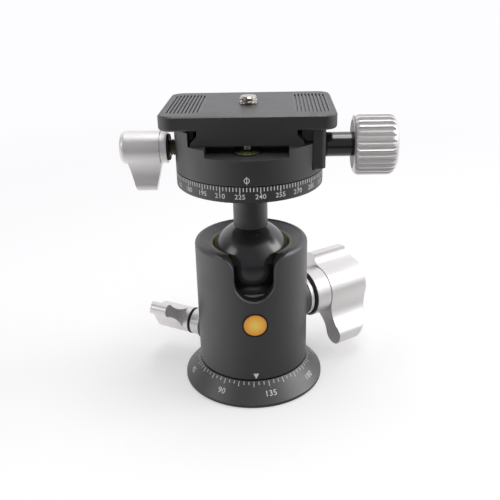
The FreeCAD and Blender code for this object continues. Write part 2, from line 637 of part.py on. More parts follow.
def make_badge():
    rim = "badge_rad - bezel_wall - set_gap"
    dome = "((%s)^2 + badge_crown^2) / (2 * badge_crown)" % rim
    bezel = turned("badge_bezel", ring_points(
        "badge_rad - bezel_wall", "badge_rad", "badge_seat", "house_rad + bezel_proud"))
    disc = turned("badge_disc", [
        ("0", "badge_seat"), (rim, "badge_seat"),
        (rim, "house_rad - badge_sink"), ("0", "house_rad - badge_sink + badge_crown", dome, 1)])
    for body in (bezel, disc):
        point_out(body, "pan_rest - 90", "badge_z")


def make_upper_ring():
    seat = "ball_rad + ball_gap"
    chamfer = "liner_top - liner_chamfer"
    body = turned("upper_ball_ring", [
        (sphere_edge(seat, "liner_low"), "liner_low", seat, -1), ("liner_rad", "liner_low"),
        ("liner_rad", "liner_top"), ("liner_rad - liner_flat", "liner_top"),
        (sphere_edge(seat, chamfer), chamfer)])
    notch = new_sketch(body, "ring_gap", "XZ_Plane")
    box_outline(notch, "-notch_half", "notch_half", "liner_low - 1", "liner_top + 1")
    swept(body, "Pocket", notch, "house_rad", reverse=True)
    stand(body, turn="pan_rest")


# ---------------------------------------------------------------- ball and its clamp

def make_ball():
    hole = "stem_rad + set_gap"
    turned("ball", [
        ("0", "ball_z - ball_rad"), ("ball_rad", "ball_z", "ball_rad", 1),
        (hole, "ball_z + sqrt(ball_rad^2 - (%s)^2)" % hole, "ball_rad", 1), (hole, "stem_foot"),
        ("stem_tail_rad + set_gap", "stem_foot"), ("stem_tail_rad + set_gap", "stem_tail - seam"),
        ("0", "stem_tail - seam")])


def make_stem():
    turned("stem", [
        ("0", "stem_tail"), ("stem_tail_rad", "stem_tail"), ("stem_tail_rad", "stem_foot"),
        ("stem_rad", "stem_foot"), ("stem_rad", "ring_low"), ("stem_spigot_rad", "ring_low"),
        ("stem_spigot_rad", "stem_spigot_top"), ("0", "stem_spigot_top")])


def make_ball_cup():
    inner = "ball_rad + ball_gap"
    outer = "ball_rad + ball_gap + cup_wall"
    body = turned("ball_cup", [
        ("0", "ball_z - (%s)" % outer), (sphere_edge(outer, "cup_rim"), "cup_rim", outer, 1),
        (sphere_edge(inner, "cup_rim"), "cup_rim"), ("0", "ball_z - (%s)" % inner, inner, -1)])
    stand(body, turn="pan_rest")


def make_piston():
    seat = "ball_rad + 2 * ball_gap + cup_wall"
    body = turned("pressure_piston", [
        ("0", "piston_low"), ("house_bore - run_gap", "piston_low"),
        ("house_bore - run_gap", "piston_top"), (sphere_edge(seat, "piston_top"), "piston_top"),
        ("0", "ball_z - (%s)" % seat, seat, -1)])
    slot = new_sketch(body, "wedge_slot", "XZ_Plane")
    roof = "main_z + wedge_pin_rad + ball_gap * 2"
    slope = "wedge_rise / (wedge_end - wedge_start)"
    outline(slot, [
        ("wedge_start - wedge_room", "main_z - wedge_pin_rad - seam"),
        ("house_bore + 1", "main_z - wedge_pin_rad - seam"),
        ("house_bore + 1", roof + " + seam"), ("wedge_end", roof + " + seam"), ("wedge_end", roof),
        ("wedge_start - wedge_room", "%s - (wedge_end - wedge_start + wedge_room) * %s" % (roof, slope))])
    swept(body, "Pocket", slot, "2 * wedge_pin_rad + seam", midplane=True)
    stand(body, turn="pan_rest + main_az")


def make_wedge_pin():
    body = turned("main_lock_pin", [
        ("0", "wedge_start"), ("wedge_pin_rad", "wedge_start"),
        ("wedge_pin_rad", "main_face + main_pin_grip"), ("0", "main_face + main_pin_grip")])
    cut = new_sketch(body, "wedge_slope", "XZ_Plane")
    outline(cut, [
        ("wedge_pin_rad - wedge_rise", "wedge_start"), ("wedge_pin_rad", "wedge_end"),
        ("wedge_pin_rad + 1", "wedge_end"), ("wedge_pin_rad + 1", "wedge_start - 1"),
        ("wedge_pin_rad - wedge_rise", "wedge_start - 1")])
    swept(body, "Pocket", cut, "2 * wedge_pin_rad + 2", midplane=True)
    point_out(body, "main_az + pan_rest", "main_z")


# ---------------------------------------------------------------- lock knobs

def wing(body, knob, direction, face, end):
    """Long wing of a lock knob: hollow necks blending the hub into a round tip."""
    hub, rad, off = knob + "_hub_rad", knob + "_arc_rad", knob + "_arc_off"
    tip, at = knob + "_tip_rad", knob + "_tip_at"
    root_x = "%s * %s_neck_at / (%s + %s)" % (hub, knob, hub, rad)
    root_y = "%s * %s / (%s + %s)" % (hub, off, hub, rad)
    end_x = "%s - %s * (%s - %s_neck_at) / (%s + %s)" % (at, tip, at, knob, rad, tip)
    end_y = "%s * %s / (%s + %s)" % (tip, off, rad, tip)
    sketch = new_sketch(body, knob + "_wing", lift=face, spin=direction)
    outline(sketch, [
        (root_x, "-" + root_y), (end_x, "-" + end_y, rad, -1), ("%s + %s" % (at, tip), "0", tip, 1),
        (end_x, end_y, tip, 1), (root_x, root_y, rad, -1)])
    swept(body, "Pad", sketch, "%s - %s" % (end, face))


def dome_end(body, knob, end, reach):
    """Trim the outer end of a knob to a shallow dome and round its edge."""
    sketch = new_sketch(body, knob + "_dome", "XZ_Plane")
    sag = "(dome_rad - sqrt(dome_rad^2 - (%s)^2))" % reach
    outline(sketch, [
        ("0", end), (reach, "%s - %s" % (end, sag), "dome_rad", -1), (reach, end + " + 2"),
        ("0", end + " + 2")])
    dome = revolved(body, "Groove", sketch)
    eased(body, "Fillet", dome, "%s - %s" % (end, sag), end, "dome_edge")


def make_main_knob():
    bore = "wedge_pin_rad + run_gap"
    body = turned("main_lock_knob", [
        (bore, "main_face"), ("main_hub_rad", "main_face"), ("main_hub_rad", "main_end + overrun"),
        ("0", "main_end + overrun"), ("0", "main_face + main_socket"), (bore, "main_face + main_socket")])
    wing(body, "main", "main_wing_dir", "main_face", "main_end + overrun")
    stub = new_sketch(body, "short_wing", lift="main_face", spin="main_wing_dir + 180")
    narrow = "(main_hub_rad - main_stub_neck)"
    off = "((main_stub_neck_at^2 - %s^2) / (2 * %s))" % (narrow, narrow)
    rad = "(%s - main_stub_neck)" % off
    root_x = "main_hub_rad * main_stub_neck_at / (main_hub_rad + %s)" % rad
    root_y = "main_hub_rad * %s / (main_hub_rad + %s)" % (off, rad)
    corner = "(%s - sqrt(%s^2 - (main_stub_corner - main_stub_neck_at)^2))" % (off, rad)
    sag = "(main_stub_tip - main_stub_corner)"
    nose = "(%s^2 + %s^2) / (2 * %s)" % (corner, sag, sag)
    outline(stub, [
        (root_x, "-" + root_y), ("main_stub_corner", "-" + corner, rad, -1),
        ("main_stub_tip", "0", nose, 1), ("main_stub_corner", corner, nose, 1),
        (root_x, root_y, rad, -1)])
    swept(body, "Pad", stub, "main_end + overrun - main_face")
    dome_end(body, "main", "main_end", "main_tip_at + main_tip_rad + overrun")
    point_out(body, "main_az + pan_rest", "main_z")


def make_main_rings():
    bore = "wedge_pin_rad + run_gap"
    bush = turned("main_lock_bush", ring_points(
        bore, "wedge_pin_rad + main_bush_wall - set_gap", "house_bore + main_bush_gap", "main_boss_end"))
    flange = turned("main_lock_flange", ring_points(
        "wedge_pin_rad + seam", "main_flange_rad", "main_boss_end", "main_flange_end"))
    ring = turned("main_lock_ring", ring_points(
        "wedge_pin_rad + seam", "main_ring_rad", "main_flange_end + seam", "main_ring_end"))
    collar = turned("main_lock_collar", [
        (bore, "main_ring_end"), ("main_collar_rad", "main_ring_end"),
        ("main_collar_rad", "main_collar_end"), ("main_collar_rad - main_collar_step", "main_collar_end"),
        ("main_collar_rad - main_collar_step", "main_face"), (bore, "main_face")])
    for body in (bush, flange, ring, collar):
        point_out(body, "main_az + pan_rest", "main_z")


def make_pan_lock():
    start = "(spindle_rad - spindle_groove + pad_gap)"
    bore = "pan_pin_rad + run_gap"
    pad = turned("pan_lock_pad", [
        ("0", start), ("pan_pin_rad", start), ("pan_pin_rad", start + " + pan_pad_len"),
        ("0", start + " + pan_pad_len")])
    pin = turned("pan_lock_pin", [
        ("0", start + " + pan_pad_len"), ("pan_pin_rad", start + " + pan_pad_len"),
        ("pan_pin_rad", "pan_face + pan_pin_grip"), ("0", "pan_face + pan_pin_grip")])
    collar = turned("pan_lock_collar", ring_points(
        "pan_pin_rad + seam", "pan_collar_rad", "pan_boss_end", "pan_collar_end"))
    ring = turned("pan_lock_ring", ring_points(
        "pan_pin_rad + seam", "pan_collar_rad + pan_ring_proud", "pan_collar_end + seam", "pan_ring_end"))
    knob = turned("pan_lock_knob", [
        (bore, "pan_ring_end"), ("pan_hub_rad", "pan_ring_end"), ("pan_hub_rad", "pan_end + overrun"),
        ("0", "pan_end + overrun"), ("0", "pan_face + pan_socket"), (bore, "pan_face + pan_socket")])
    wing(knob, "pan", "pan_wing_dir", "pan_face", "pan_end + overrun")
    dome_end(knob, "pan", "pan_end", "pan_tip_at + pan_tip_rad + overrun")
    for body in (pad, pin, collar, ring, knob):
        point_out(body, "pan_az + pan_rest", "pan_z")


def make_ring_lock():
    start = "(keeper_rad + pad_gap)"
    bore = "lever_pin_rad + run_gap"
    pad = turned("ring_lock_pad", [
        ("0", start), ("lever_pin_rad", start), ("lever_pin_rad", start + " + lever_pad_len"),
        ("0", start + " + lever_pad_len")])
    pin = turned("ring_lock_pin", [
        ("0", start + " + lever_pad_len"), ("lever_pin_rad", start + " + lever_pad_len"),
        ("lever_pin_rad", "lever_face + lever_pin_grip"), ("0", "lever_face + lever_pin_grip")])
    washer = turned("ring_lock_washer", ring_points(
        bore, "lever_washer_rad", "lever_washer_in", "lever_collar_in"))
    step = "lever_collar_rad - lever_collar_step"
    collar = turned("ring_lock_collar", [
        (bore, "lever_collar_in"), ("lever_collar_rad", "lever_collar_in"),
        ("lever_collar_rad", "lever_collar_end"), (step, "lever_collar_end"), (step, "lever_face"),
        (bore, "lever_face")])
    knob = turned("ring_lock_knob", [
        (bore, "lever_face"), ("lever_hub_rad", "lever_face"),
        ("lever_hub_rad", "lever_end - lever_round"),
        ("lever_hub_rad - lever_round", "lever_end", "lever_round", 1), ("0", "lever_end"),
        ("0", "lever_face + lever_socket"), (bore, "lever_face + lever_socket")])
    wing(knob, "lever", "lever_wing_dir", "lever_face", "lever_end - lever_inset")
    reach = "lever_tip_at + lever_tip_rad + overrun"
    drop = "(%s - lever_hub_rad) * tan(lever_slant)" % reach
    inner = new_sketch(knob, "inner_slant", "XZ_Plane")
    outline(inner, [
        ("lever_hub_rad", "lever_face"), (reach, "lever_face - 1"), (reach, "lever_face + %s" % drop)])
    revolved(knob, "Groove", inner)
    outer = new_sketch(knob, "outer_slant", "XZ_Plane")
    side = "lever_end - lever_inset"
    outline(outer, [
        ("lever_hub_rad", side), (reach, "%s - %s" % (side, drop)), (reach, side + " + 1"),
        ("lever_hub_rad", side + " + 1")])
    revolved(knob, "Groove", outer)
    for body in (pad, pin, washer, collar, knob):
        point_out(body, "180", "lever_z")


# ---------------------------------------------------------------- graduated ring

def make_graduated_ring():
    bore = "stem_spigot_rad + set_gap"
    hole = "keeper_screw_rad + set_gap"
    turned("graduated_ring", [
        (bore, "ring_low"), ("ring_rad - base_edge", "ring_low"), ("ring_rad", "ring_low + base_edge"),
        ("ring_rad", "ring_top"), ("post_rad", "ring_top"), ("post_rad", "post_top"),
        (hole, "post_top"), (hole, "stem_spigot_top + deep_gap"), (bore, "stem_spigot_top + deep_gap")])


def make_ring_retainer():
    hole = "keeper_screw_rad + set_gap"
    turned("ring_retainer", [
        (hole, "post_top"), ("keeper_rad", "post_top"), ("keeper_rad", "keeper_top"),
        ("keeper_screw_rad * 2 + set_gap", "keeper_top"), (hole, "keeper_top - keeper_screw_rad")])
    turned("ring_screw", [
        ("0", "stem_spigot_top + 2 * deep_gap"), ("keeper_screw_rad", "stem_spigot_top + 2 * deep_gap"),
        ("keeper_screw_rad", "keeper_top - keeper_screw_rad"), ("keeper_screw_rad * 2", "keeper_top"),
        ("0", "keeper_top")])


# ---------------------------------------------------------------- clamp

def lip_points(side, root, low):
    """Section of a wall with the lip that leans over the dovetail, from its root inward.

    Side is an empty string or a minus sign. The flank lies jaw_gap sideways of the dovetail's.
    """
    flank = "dove_low + dove_foot + dove_half + jaw_gap - wall_x"
    return [
        (side + "(%s)" % root, low), (side + "wall_x", low), (side + "wall_x", flank),
        (side + "(wall_x - lip_out)", flank + " + lip_out"),
        (side + "(wall_x - lip_out)", "jaw_top"), (side + "(%s)" % root, "jaw_top")]


def cut_box(body, name, box, low, height):
    sketch = new_sketch(body, name, lift=low)
    box_outline(sketch, *box)
    swept(body, "Pocket", sketch, height, reverse=True)


def drill_out(body, name, azimuth, start, length, spots):
    """Drill round holes outward along a level direction. A spot is (sideways, height, radius)."""
    sketch = radial_sketch(body, name, azimuth, start)
    for x, z, radius in spots:
        circle(sketch, x, z, radius)
    swept(body, "Pocket", sketch, length, reverse=True)


def make_clamp_body():
    reach = "ring_rad + 1"
    body = turned("clamp_body", [
        ("post_rad + run_gap", "ring_top + seam"), ("ring_rad", "ring_top + seam"),
        ("ring_rad", "jaw_top"), ("keeper_rad + seam", "jaw_top"),
        ("keeper_rad + seam", "post_top - seam"), ("post_rad + run_gap", "post_top - seam")])
    cut_box(body, "channel", ("-wall_x", reach, "-(%s)" % reach, reach), "floor_z", "jaw_top - floor_z + 1")
    cut_box(body, "jaw_bay", ("bay_x", reach, "-(%s)" % reach, reach), "jaw_low - seam",
            "floor_z - jaw_low + 1")
    cut_box(body, "front_recess", ("-recess_half", "recess_half", "-(%s)" % reach, "-recess_back"),
            "recess_floor", "floor_z - recess_floor + 1")
    lip = new_sketch(body, "fixed_lip", "XZ_Plane")
    outline(lip, lip_points("-", "wall_x + lip_root", "floor_z"))
    swept(body, "Pad", lip, "2 * lip_half", midplane=True)
    seat = new_sketch(body, "level_seat", lift="level_low")
    circle(seat, "0", "-level_at", "level_rad + set_gap")
    swept(body, "Pocket", seat, "recess_floor - level_low + 0.2", reverse=True)
    drill_out(body, "screw_holes", "0", "screw_in - screw_room", "wall_x", [
        ("0", "screw_z", "screw_rad + run_gap"), ("guide_at", "guide_z", "guide_rad + run_gap"),
        ("-guide_at", "guide_z", "guide_rad + run_gap")])
    drill_out(body, "lock_hole", "180", "keeper_rad", "ring_rad",
              [("0", "lever_z", "lever_pin_rad + run_gap")])


def make_clamp_cap():
    turned("clamp_cap", [
        ("0", "keeper_top + cap_gap"), ("keeper_rad + seam - set_gap", "keeper_top + cap_gap"),
        ("keeper_rad + seam - set_gap", "floor_z - seam"), ("0", "floor_z - seam")])


def make_level():
    inner = "level_rad - level_wall"
    low, top = "level_low + level_base", "recess_floor - lens_sink"
    under, round_air = top + " - bubble_deep", "(bubble_rad^2 + bubble_deep^2) / (2 * bubble_deep)"
    cup = turned("level_cup", [
        ("0", "level_low"), ("level_rad", "level_low"), ("level_rad", "recess_floor + cup_proud"),
        (inner, "recess_floor + cup_proud"), (inner, low), ("0", low)])
    liquid = turned("level_liquid", [
        ("0", low), (inner, low), (inner, top), ("bubble_rad", top), ("0", under, round_air, -1)])
    bubble = turned("level_bubble", [("0", top), ("0", under), ("bubble_rad", top, round_air, 1)])
    round_lens = "((%s)^2 + lens_crown^2) / (2 * lens_crown)" % inner
    lens = turned("level_lens", [
        ("0", top), (inner, top), (inner, "recess_floor + lens_edge"),
        ("0", "recess_floor + lens_edge + lens_crown", round_lens, 1)])
    for body in (cup, liquid, bubble, lens):
        stand(body, y="-level_at")


def make_moving_jaw():
    face = "bay_x + seam"
    body = new_body("moving_jaw")
    slab = new_sketch(body, "jaw_slab", lift="jaw_low")
    outline(slab, [
        (face, "jaw_half"), (face, "-jaw_half"), ("jaw_out - jaw_corner", "-jaw_half"),
        ("jaw_out", "jaw_corner - jaw_half", "jaw_corner", 1), ("jaw_out", "jaw_half - jaw_corner"),
        ("jaw_out - jaw_corner", "jaw_half", "jaw_corner", 1)])
    swept(body, "Pad", slab, "jaw_top - jaw_low")
    lip = new_sketch(body, "jaw_lip", "XZ_Plane")
    outline(lip, lip_points("", face + " + lip_root", "floor_z + seam"))
    swept(body, "Pad", lip, "2 * lip_half", midplane=True)
    drill_out(body, "jaw_screw_hole", "0", "bay_x", "jaw_out", [("0", "screw_z", "screw_rad + run_gap")])
    drill_out(body, "jaw_guide_holes", "0", "bay_x", "guide_out - bay_x", [
        ("guide_at", "guide_z", "guide_rad + set_gap"), ("-guide_at", "guide_z", "guide_rad + set_gap")])


def make_guide_pin(number, y):
    body = turned("jaw_guide_pin_%d" % number, [
        ("0", "guide_in"), ("guide_rad", "guide_in"), ("guide_rad", "guide_out"), ("0", "guide_out")])
    point_out(body, "0", "guide_z", y)


def make_clamp_knob():
    bore = "screw_rad + set_gap"
    blind = "knob_out - knob_cap"
    screw = turned("clamp_screw", [
        ("0", "screw_in"), ("screw_rad", "screw_in"), ("screw_rad", blind), ("0", blind)])
    washer = turned("clamp_washer", ring_points(bore, "sleeve_rad", "jaw_out + seam", "sleeve_in"))
    sleeve = turned("clamp_sleeve", ring_points(bore, "sleeve_rad", "sleeve_in", "knob_in"))
    insert = turned("clamp_knob_insert", ring_points(bore, "insert_rad", "knob_in", "knob_in + insert_deep"))
    floor = "knob_in + insert_deep"
    seat = "insert_rad + set_gap"
    brim = "knob_rad - knob_round"
    knob = turned("clamp_knob", [
        (bore, floor), (seat, floor), (seat, "knob_in"), ("knob_rad - knob_nose", "knob_in"),
        ("knob_rad", "knob_in + knob_nose", "knob_nose", 1), ("knob_rad", "knob_out - knob_round"),
        (brim, "knob_out", "knob_round", 1), (brim + " - knob_dish", "knob_out - knob_dish"),
        ("0", "knob_out - knob_dish"), ("0", blind), (bore, blind)])
    flute = new_sketch(knob, "flute", lift="knob_in - 1")
    wide = "flute_half * (flute_deep + 0.5) / flute_deep"
    outline(flute, [("knob_rad - flute_deep", "0"), ("knob_rad + 0.5", "-" + wide), ("knob_rad + 0.5", wide)])
    cut = swept(knob, "Pocket", flute, "knob_out - knob_in + 2", reverse=True)
    polar(knob, cut, flute, "flute_count")
    for body in (screw, washer, sleeve, insert, knob):
        point_out(body, "0", "screw_z")


# ---------------------------------------------------------------- quick-release plate

def rounded_box(sketch, x, y, half_x, half_y, corner):
    """Rounded rectangle about a centre."""
    def at(sx, ax, sy, ay):
        return ("%s %s (%s)" % (x, sx, ax), "%s %s (%s)" % (y, sy, ay))
    short_x, short_y = "%s - %s" % (half_x, corner), "%s - %s" % (half_y, corner)
    outline(sketch, [
        at("-", short_x, "-", half_y) + (corner, 1), at("+", short_x, "-", half_y),
        at("+", half_x, "-", short_y) + (corner, 1), at("+", half_x, "+", short_y),
        at("+", short_x, "+", half_y) + (corner, 1), at("-", short_x, "+", half_y),
        at("-", half_x, "+", short_y) + (corner, 1), at("-", half_x, "-", short_y)])


def make_plate():
    body = new_body("quick_release_plate")
    slab = new_sketch(body, "slab", lift="plate_low")
    rounded_box(slab, "0", "0", "plate_half_x", "plate_half_y", "plate_corner")
    block = swept(body, "Pad", slab, "plate_thick")
    under = eased(body, "Fillet", block, "plate_low", "plate_low", "plate_under")
    top = "plate_low + plate_thick"
    eased(body, "Chamfer", under, top, top, "plate_edge")
    dovetail = new_sketch(body, "dovetail", "XZ_Plane")
    sides = [("dove_half", "dove_low"), ("dove_half", "dove_low + dove_foot"),
             ("dove_half - dove_flank", "dove_low + dove_foot + dove_flank"),
             ("dove_half - dove_flank", "plate_low + plate_under")]
    outline(dovetail, sides + [("-(%s)" % x, z) for x, z in reversed(sides)])
    swept(body, "Pad", dovetail, "2 * plate_half_y", midplane=True)
    head = new_sketch(body, "head_pocket", lift="dove_low")
    circle(head, "0", "0", "head_rad + seam")
    swept(body, "Pocket", head, "head_top - dove_low + head_room", reverse=True)
    hole = new_sketch(body, "stud_hole", lift="dove_low")
    circle(hole, "0", "0", "stud_neck_rad + run_gap")
    swept(body, "Pocket", hole, "plate_low + plate_thick - dove_low", reverse=True)
    sink = new_sketch(body, "stud_sink", lift="plate_low + plate_thick - sink_deep")
    circle(sink, "0", "0", "stud_rad + seam")
    swept(body, "Pocket", sink, "sink_deep", reverse=True)
    for side, sign in (("left", "-"), ("right", "")):
        seat = new_sketch(body, side + "_pad_seat", lift="plate_low + plate_thick - pad_deep")
        rounded_box(seat, sign + "pad_at", "0", "pad_half_x + set_gap", "pad_half_y + set_gap", "pad_corner")
        swept(body, "Pocket", seat, "pad_deep + 0.5", reverse=True)
    stand(body, y="plate_y")


def make_grip_pad(side, sign):
    body = new_body("grip_pad_" + side)
    slab = new_sketch(body, side + "_slab", lift="plate_low + plate_thick - pad_deep")
    rounded_box(slab, sign + "pad_at", "0", "pad_half_x", "pad_half_y", "pad_corner")
    swept(body, "Pad", slab, "pad_deep")
    grooves = new_sketch(body, side + "_grooves", lift="plate_low + plate_thick - rib_deep")
    side_grooves = int(now("(pad_half_x - rib_width) / rib_pitch"))
    for step in range(-side_grooves, side_grooves + 1):
        middle = "%spad_at + %d * rib_pitch" % (sign, step)
        box_outline(grooves, middle + " - rib_width / 2", middle + " + rib_width / 2",
                    "-pad_half_y - 1", "pad_half_y + 1")
    swept(body, "Pocket", grooves, "rib_deep + 0.5", reverse=True)
    stand(body, y="plate_y")


def make_camera_screw():
    shoulder = "plate_low + plate_thick + stud_lift"
    body = turned("camera_screw", [
        ("0", "head_low"), ("head_rad", "head_low"), ("head_rad", "head_top"), ("stud_neck_rad", "head_top"),
        ("stud_neck_rad", shoulder), ("stud_rad", shoulder),
        ("stud_rad", "stud_top - stud_tip"), ("stud_rad - stud_tip", "stud_top"), ("0", "stud_top")])
    slot = new_sketch(body, "coin_slot", lift="head_low")
    box_outline(slot, "-slot_width / 2", "slot_width / 2", "-head_rad - 1", "head_rad + 1")
    swept(body, "Pocket", slot, "slot_deep", reverse=True)
    stand(body, y="plate_y")


def build():
    make_base_plate()
    make_thread_bush()
    make_spindle()
    for number in (1, 2, 3):
        make_base_screw(number)
    make_spindle_retainer()
    make_spindle_screw()
    make_housing()
    make_housing_block()
    make_badge()
    make_upper_ring()
    make_ball()
    make_stem()
    make_ball_cup()
    make_piston()
    make_wedge_pin()
    make_main_knob()
    make_main_rings()
    make_pan_lock()
    make_ring_lock()
    make_graduated_ring()
    make_ring_retainer()
    make_clamp_body()
    make_clamp_cap()
    make_level()
    make_moving_jaw()
    make_guide_pin(1, "guide_at")
    make_guide_pin(2, "-guide_at")
    make_clamp_knob()
    make_plate()
    make_grip_pad("left", "-")
    make_grip_pad("right", "")
    make_camera_screw()
    doc.recompute()


def check_and_export():
    """Stop on any broken object or solid, then write one STEP file for each part."""
    broken = [item.Name for item in doc.Objects if {"Invalid", "Error"} & set(item.State)]
    bodies = [item for item in doc.Objects if item.isDerivedFrom("PartDesign::Body")]
    bad = [body.Name for body in bodies
           if body.Shape.isNull() or not body.Shape.isValid() or len(body.Shape.Solids) != 1]
    if broken or bad:
        raise RuntimeError("broken objects %s, bad solids %s" % (broken, bad))
    os.makedirs("parts", exist_ok=True)
    for body in bodies:
        body.Shape.exportStep("parts/%s.step" % body.Label)
        box = body.Shape.BoundBox
        print("%-20s %9.1f  X %6.1f %6.1f  Y %6.1f %6.1f  Z %6.1f %6.1f" % (
            body.Label, body.Shape.Volume, box.XMin, box.XMax, box.YMin, box.YMax, box.ZMin, box.ZMax))


build()
check_and_export()
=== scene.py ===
"""Looks of a panning tripod ball head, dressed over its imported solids.

Lengths in the classes are millimetres and angles are degrees. Z runs up the head, X along the
clamp screw towards its knob, and Y away from the drop notch.
"""

import functools
import logging
import math
from dataclasses import dataclass
from enum import Enum
from typing import Callable, Optional, Sequence, Union

import bmesh
import bpy
from mathutils import Matrix, Vector


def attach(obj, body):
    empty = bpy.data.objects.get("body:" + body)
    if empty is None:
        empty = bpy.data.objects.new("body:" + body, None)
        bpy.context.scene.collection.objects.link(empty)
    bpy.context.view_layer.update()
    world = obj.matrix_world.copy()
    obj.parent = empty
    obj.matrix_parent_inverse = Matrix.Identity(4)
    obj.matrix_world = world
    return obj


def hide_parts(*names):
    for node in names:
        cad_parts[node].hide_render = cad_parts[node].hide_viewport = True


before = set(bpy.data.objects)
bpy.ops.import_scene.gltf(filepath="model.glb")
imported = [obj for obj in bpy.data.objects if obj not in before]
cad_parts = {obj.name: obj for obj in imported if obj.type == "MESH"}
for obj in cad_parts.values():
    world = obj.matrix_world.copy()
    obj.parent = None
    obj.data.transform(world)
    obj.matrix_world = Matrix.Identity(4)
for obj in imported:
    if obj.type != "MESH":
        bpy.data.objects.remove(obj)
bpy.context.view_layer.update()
log = logging.getLogger("ball_head")

MM = 0.001
NIL = 1e-6
PAN_REST = 4.5
FRONT = -90.0
MAIN_AZIMUTH = 30 + PAN_REST
MAIN_HEIGHT = 27.6
PAN_AZIMUTH = 150 + PAN_REST
PAN_HEIGHT = 16.1
SHARP_ANGLE = math.radians(32)
ROWS_PER_TURN = 14
PRINT_PROUD = 0.02
PRINT_SUNK = 0.03
CAP_SHARE = 0.7
DIGIT_SPACING = 1.06
DIGIT_WEIGHT = 0.012
WEAR_REACH = 0.00025
DUST_COLOR = (0.55, 0.54, 0.52)

Color = tuple[float, float, float]
Socket = bpy.types.NodeSocket
Node = bpy.types.Node
Tree = bpy.types.NodeTree
Mesh = bpy.types.Mesh
Value = Union[float, Socket]
Place = Callable[[float, float, float], Vector]
Outline = Sequence[tuple[float, float]]


def tone(red: float, green: float, blue: float) -> Color:
    """Linear colour of an 8-bit display colour.

    Args:
        red: Display red, 0 to 255.
        green: Display green, 0 to 255.
        blue: Display blue, 0 to 255.

    Returns:
        The three linear channels.
    """
    def linear(level: float) -> float:
        """One channel by the sRGB curve, display to linear."""
        share = level / 255
        return share / 12.92 if share <= 0.04045 else ((share + 0.055) / 1.055) ** 2.4
    return linear(red), linear(green), linear(blue)


# ---------------------------------------------------------------- shader node groups

class Graph:
    """Short hand for laying nodes into one node tree."""

    def __init__(self, tree: Tree) -> None:
        """Start on a tree.

        Args:
            tree: The tree that gets the nodes.
        """
        self.tree = tree

    def add(self, kind: str, inputs: Optional[dict] = None, **props) -> Node:
        """Add a node.

        Args:
            kind: Type of the node, without the ShaderNode in front where it has one.
            inputs: Value or socket for each named or numbered input.
            **props: Properties set on the node.

        Returns:
            The new node.
        """
        node = self.tree.nodes.new(kind if kind.startswith("Node") else "ShaderNode" + kind)
        for name, value in props.items():
            setattr(node, name, value)
        for name, value in (inputs or {}).items():
            self.feed(node.inputs[name], value)
        return node

    def feed(self, target: Socket, value: object) -> None:
        """Link a socket, or set a constant, on an input.

        Args:
            target: The input.
            value: A socket to link, or a constant.
        """
        if isinstance(value, Socket):
            self.tree.links.new(value, target)
        elif target.type == "RGBA":
            target.default_value = (*value, 1.0)
        else:
            target.default_value = value

    def math(self, operation: str, first: Value, second: Value = 0.0, clamp: bool = False) -> Socket:
        """One Math node's result.

        Args:
            operation: Name of the operation.
            first: First operand.
            second: Second operand.
            clamp: Whether the result stays within 0 and 1.

        Returns:
            The result socket.
        """
        node = self.add("Math", {0: first, 1: second}, operation=operation, use_clamp=clamp)
        return node.outputs[0]

    def vector(self, operation: str, first: object, second: object = (0.0, 0.0, 0.0)) -> Node:
        """One Vector Math node.

        Args:
            operation: Name of the operation.
            first: First operand.
            second: Second operand.

        Returns:
            The node, whose first output is a vector and second a value.
        """
        return self.add("VectorMath", {0: first, 1: second}, operation=operation)

    def blend(self, factor: Value, first: object, second: object) -> Socket:
        """Mix two colours.

        Args:
            factor: Share of the second.
            first: First colour.
            second: Second colour.

        Returns:
            The mixed colour's socket.
        """
        node = self.add("Mix", data_type="RGBA")
        self.feed(node.inputs[0], factor)
        self.feed(node.inputs[6], first)
        self.feed(node.inputs[7], second)
        return node.outputs[2]

    def spread(self, value: Value, low: float, high: float, to_low: float = 0.0, to_high: float = 1.0,
               smooth: bool = True) -> Socket:
        """Map a range to another, held at its ends.

        Args:
            value: What is mapped.
            low: Start of the range.
            high: End of the range.
            to_low: Result at the start.
            to_high: Result at the end.
            smooth: Whether the ends ease in.

        Returns:
            The mapped value's socket.
        """
        kind = "SMOOTHSTEP" if smooth else "LINEAR"
        ends = {0: value, 1: low, 2: high, 3: to_low, 4: to_high}
        return self.add("MapRange", ends, interpolation_type=kind).outputs[0]


def new_group(name: str, inputs: Sequence[tuple], outputs: Sequence[tuple[str, str]]) -> tuple:
    """Make an empty shader node group with its sockets.

    Args:
        name: Name of the group.
        inputs: Name, socket kind and default of each input.
        outputs: Name and socket kind of each output.

    Returns:
        The tree, its graph, its input node and its output node.
    """
    tree = bpy.data.node_groups.new(name, "ShaderNodeTree")
    for label, kind, default in inputs:
        socket = tree.interface.new_socket(name=label, in_out="INPUT", socket_type="NodeSocket" + kind)
        socket.default_value = default
    for label, kind in outputs:
        tree.interface.new_socket(name=label, in_out="OUTPUT", socket_type="NodeSocket" + kind)
    graph = Graph(tree)
    return tree, graph, graph.add("NodeGroupInput"), graph.add("NodeGroupOutput")


def even_out(graph: Graph, noise: Value) -> Socket:
    """Stretch the middle of a noise to the range from 0 to 1.

    Args:
        graph: Graph that holds the noise.
        noise: The noise.

    Returns:
        The stretched noise's socket.
    """
    return graph.spread(noise, 0.3, 0.7)


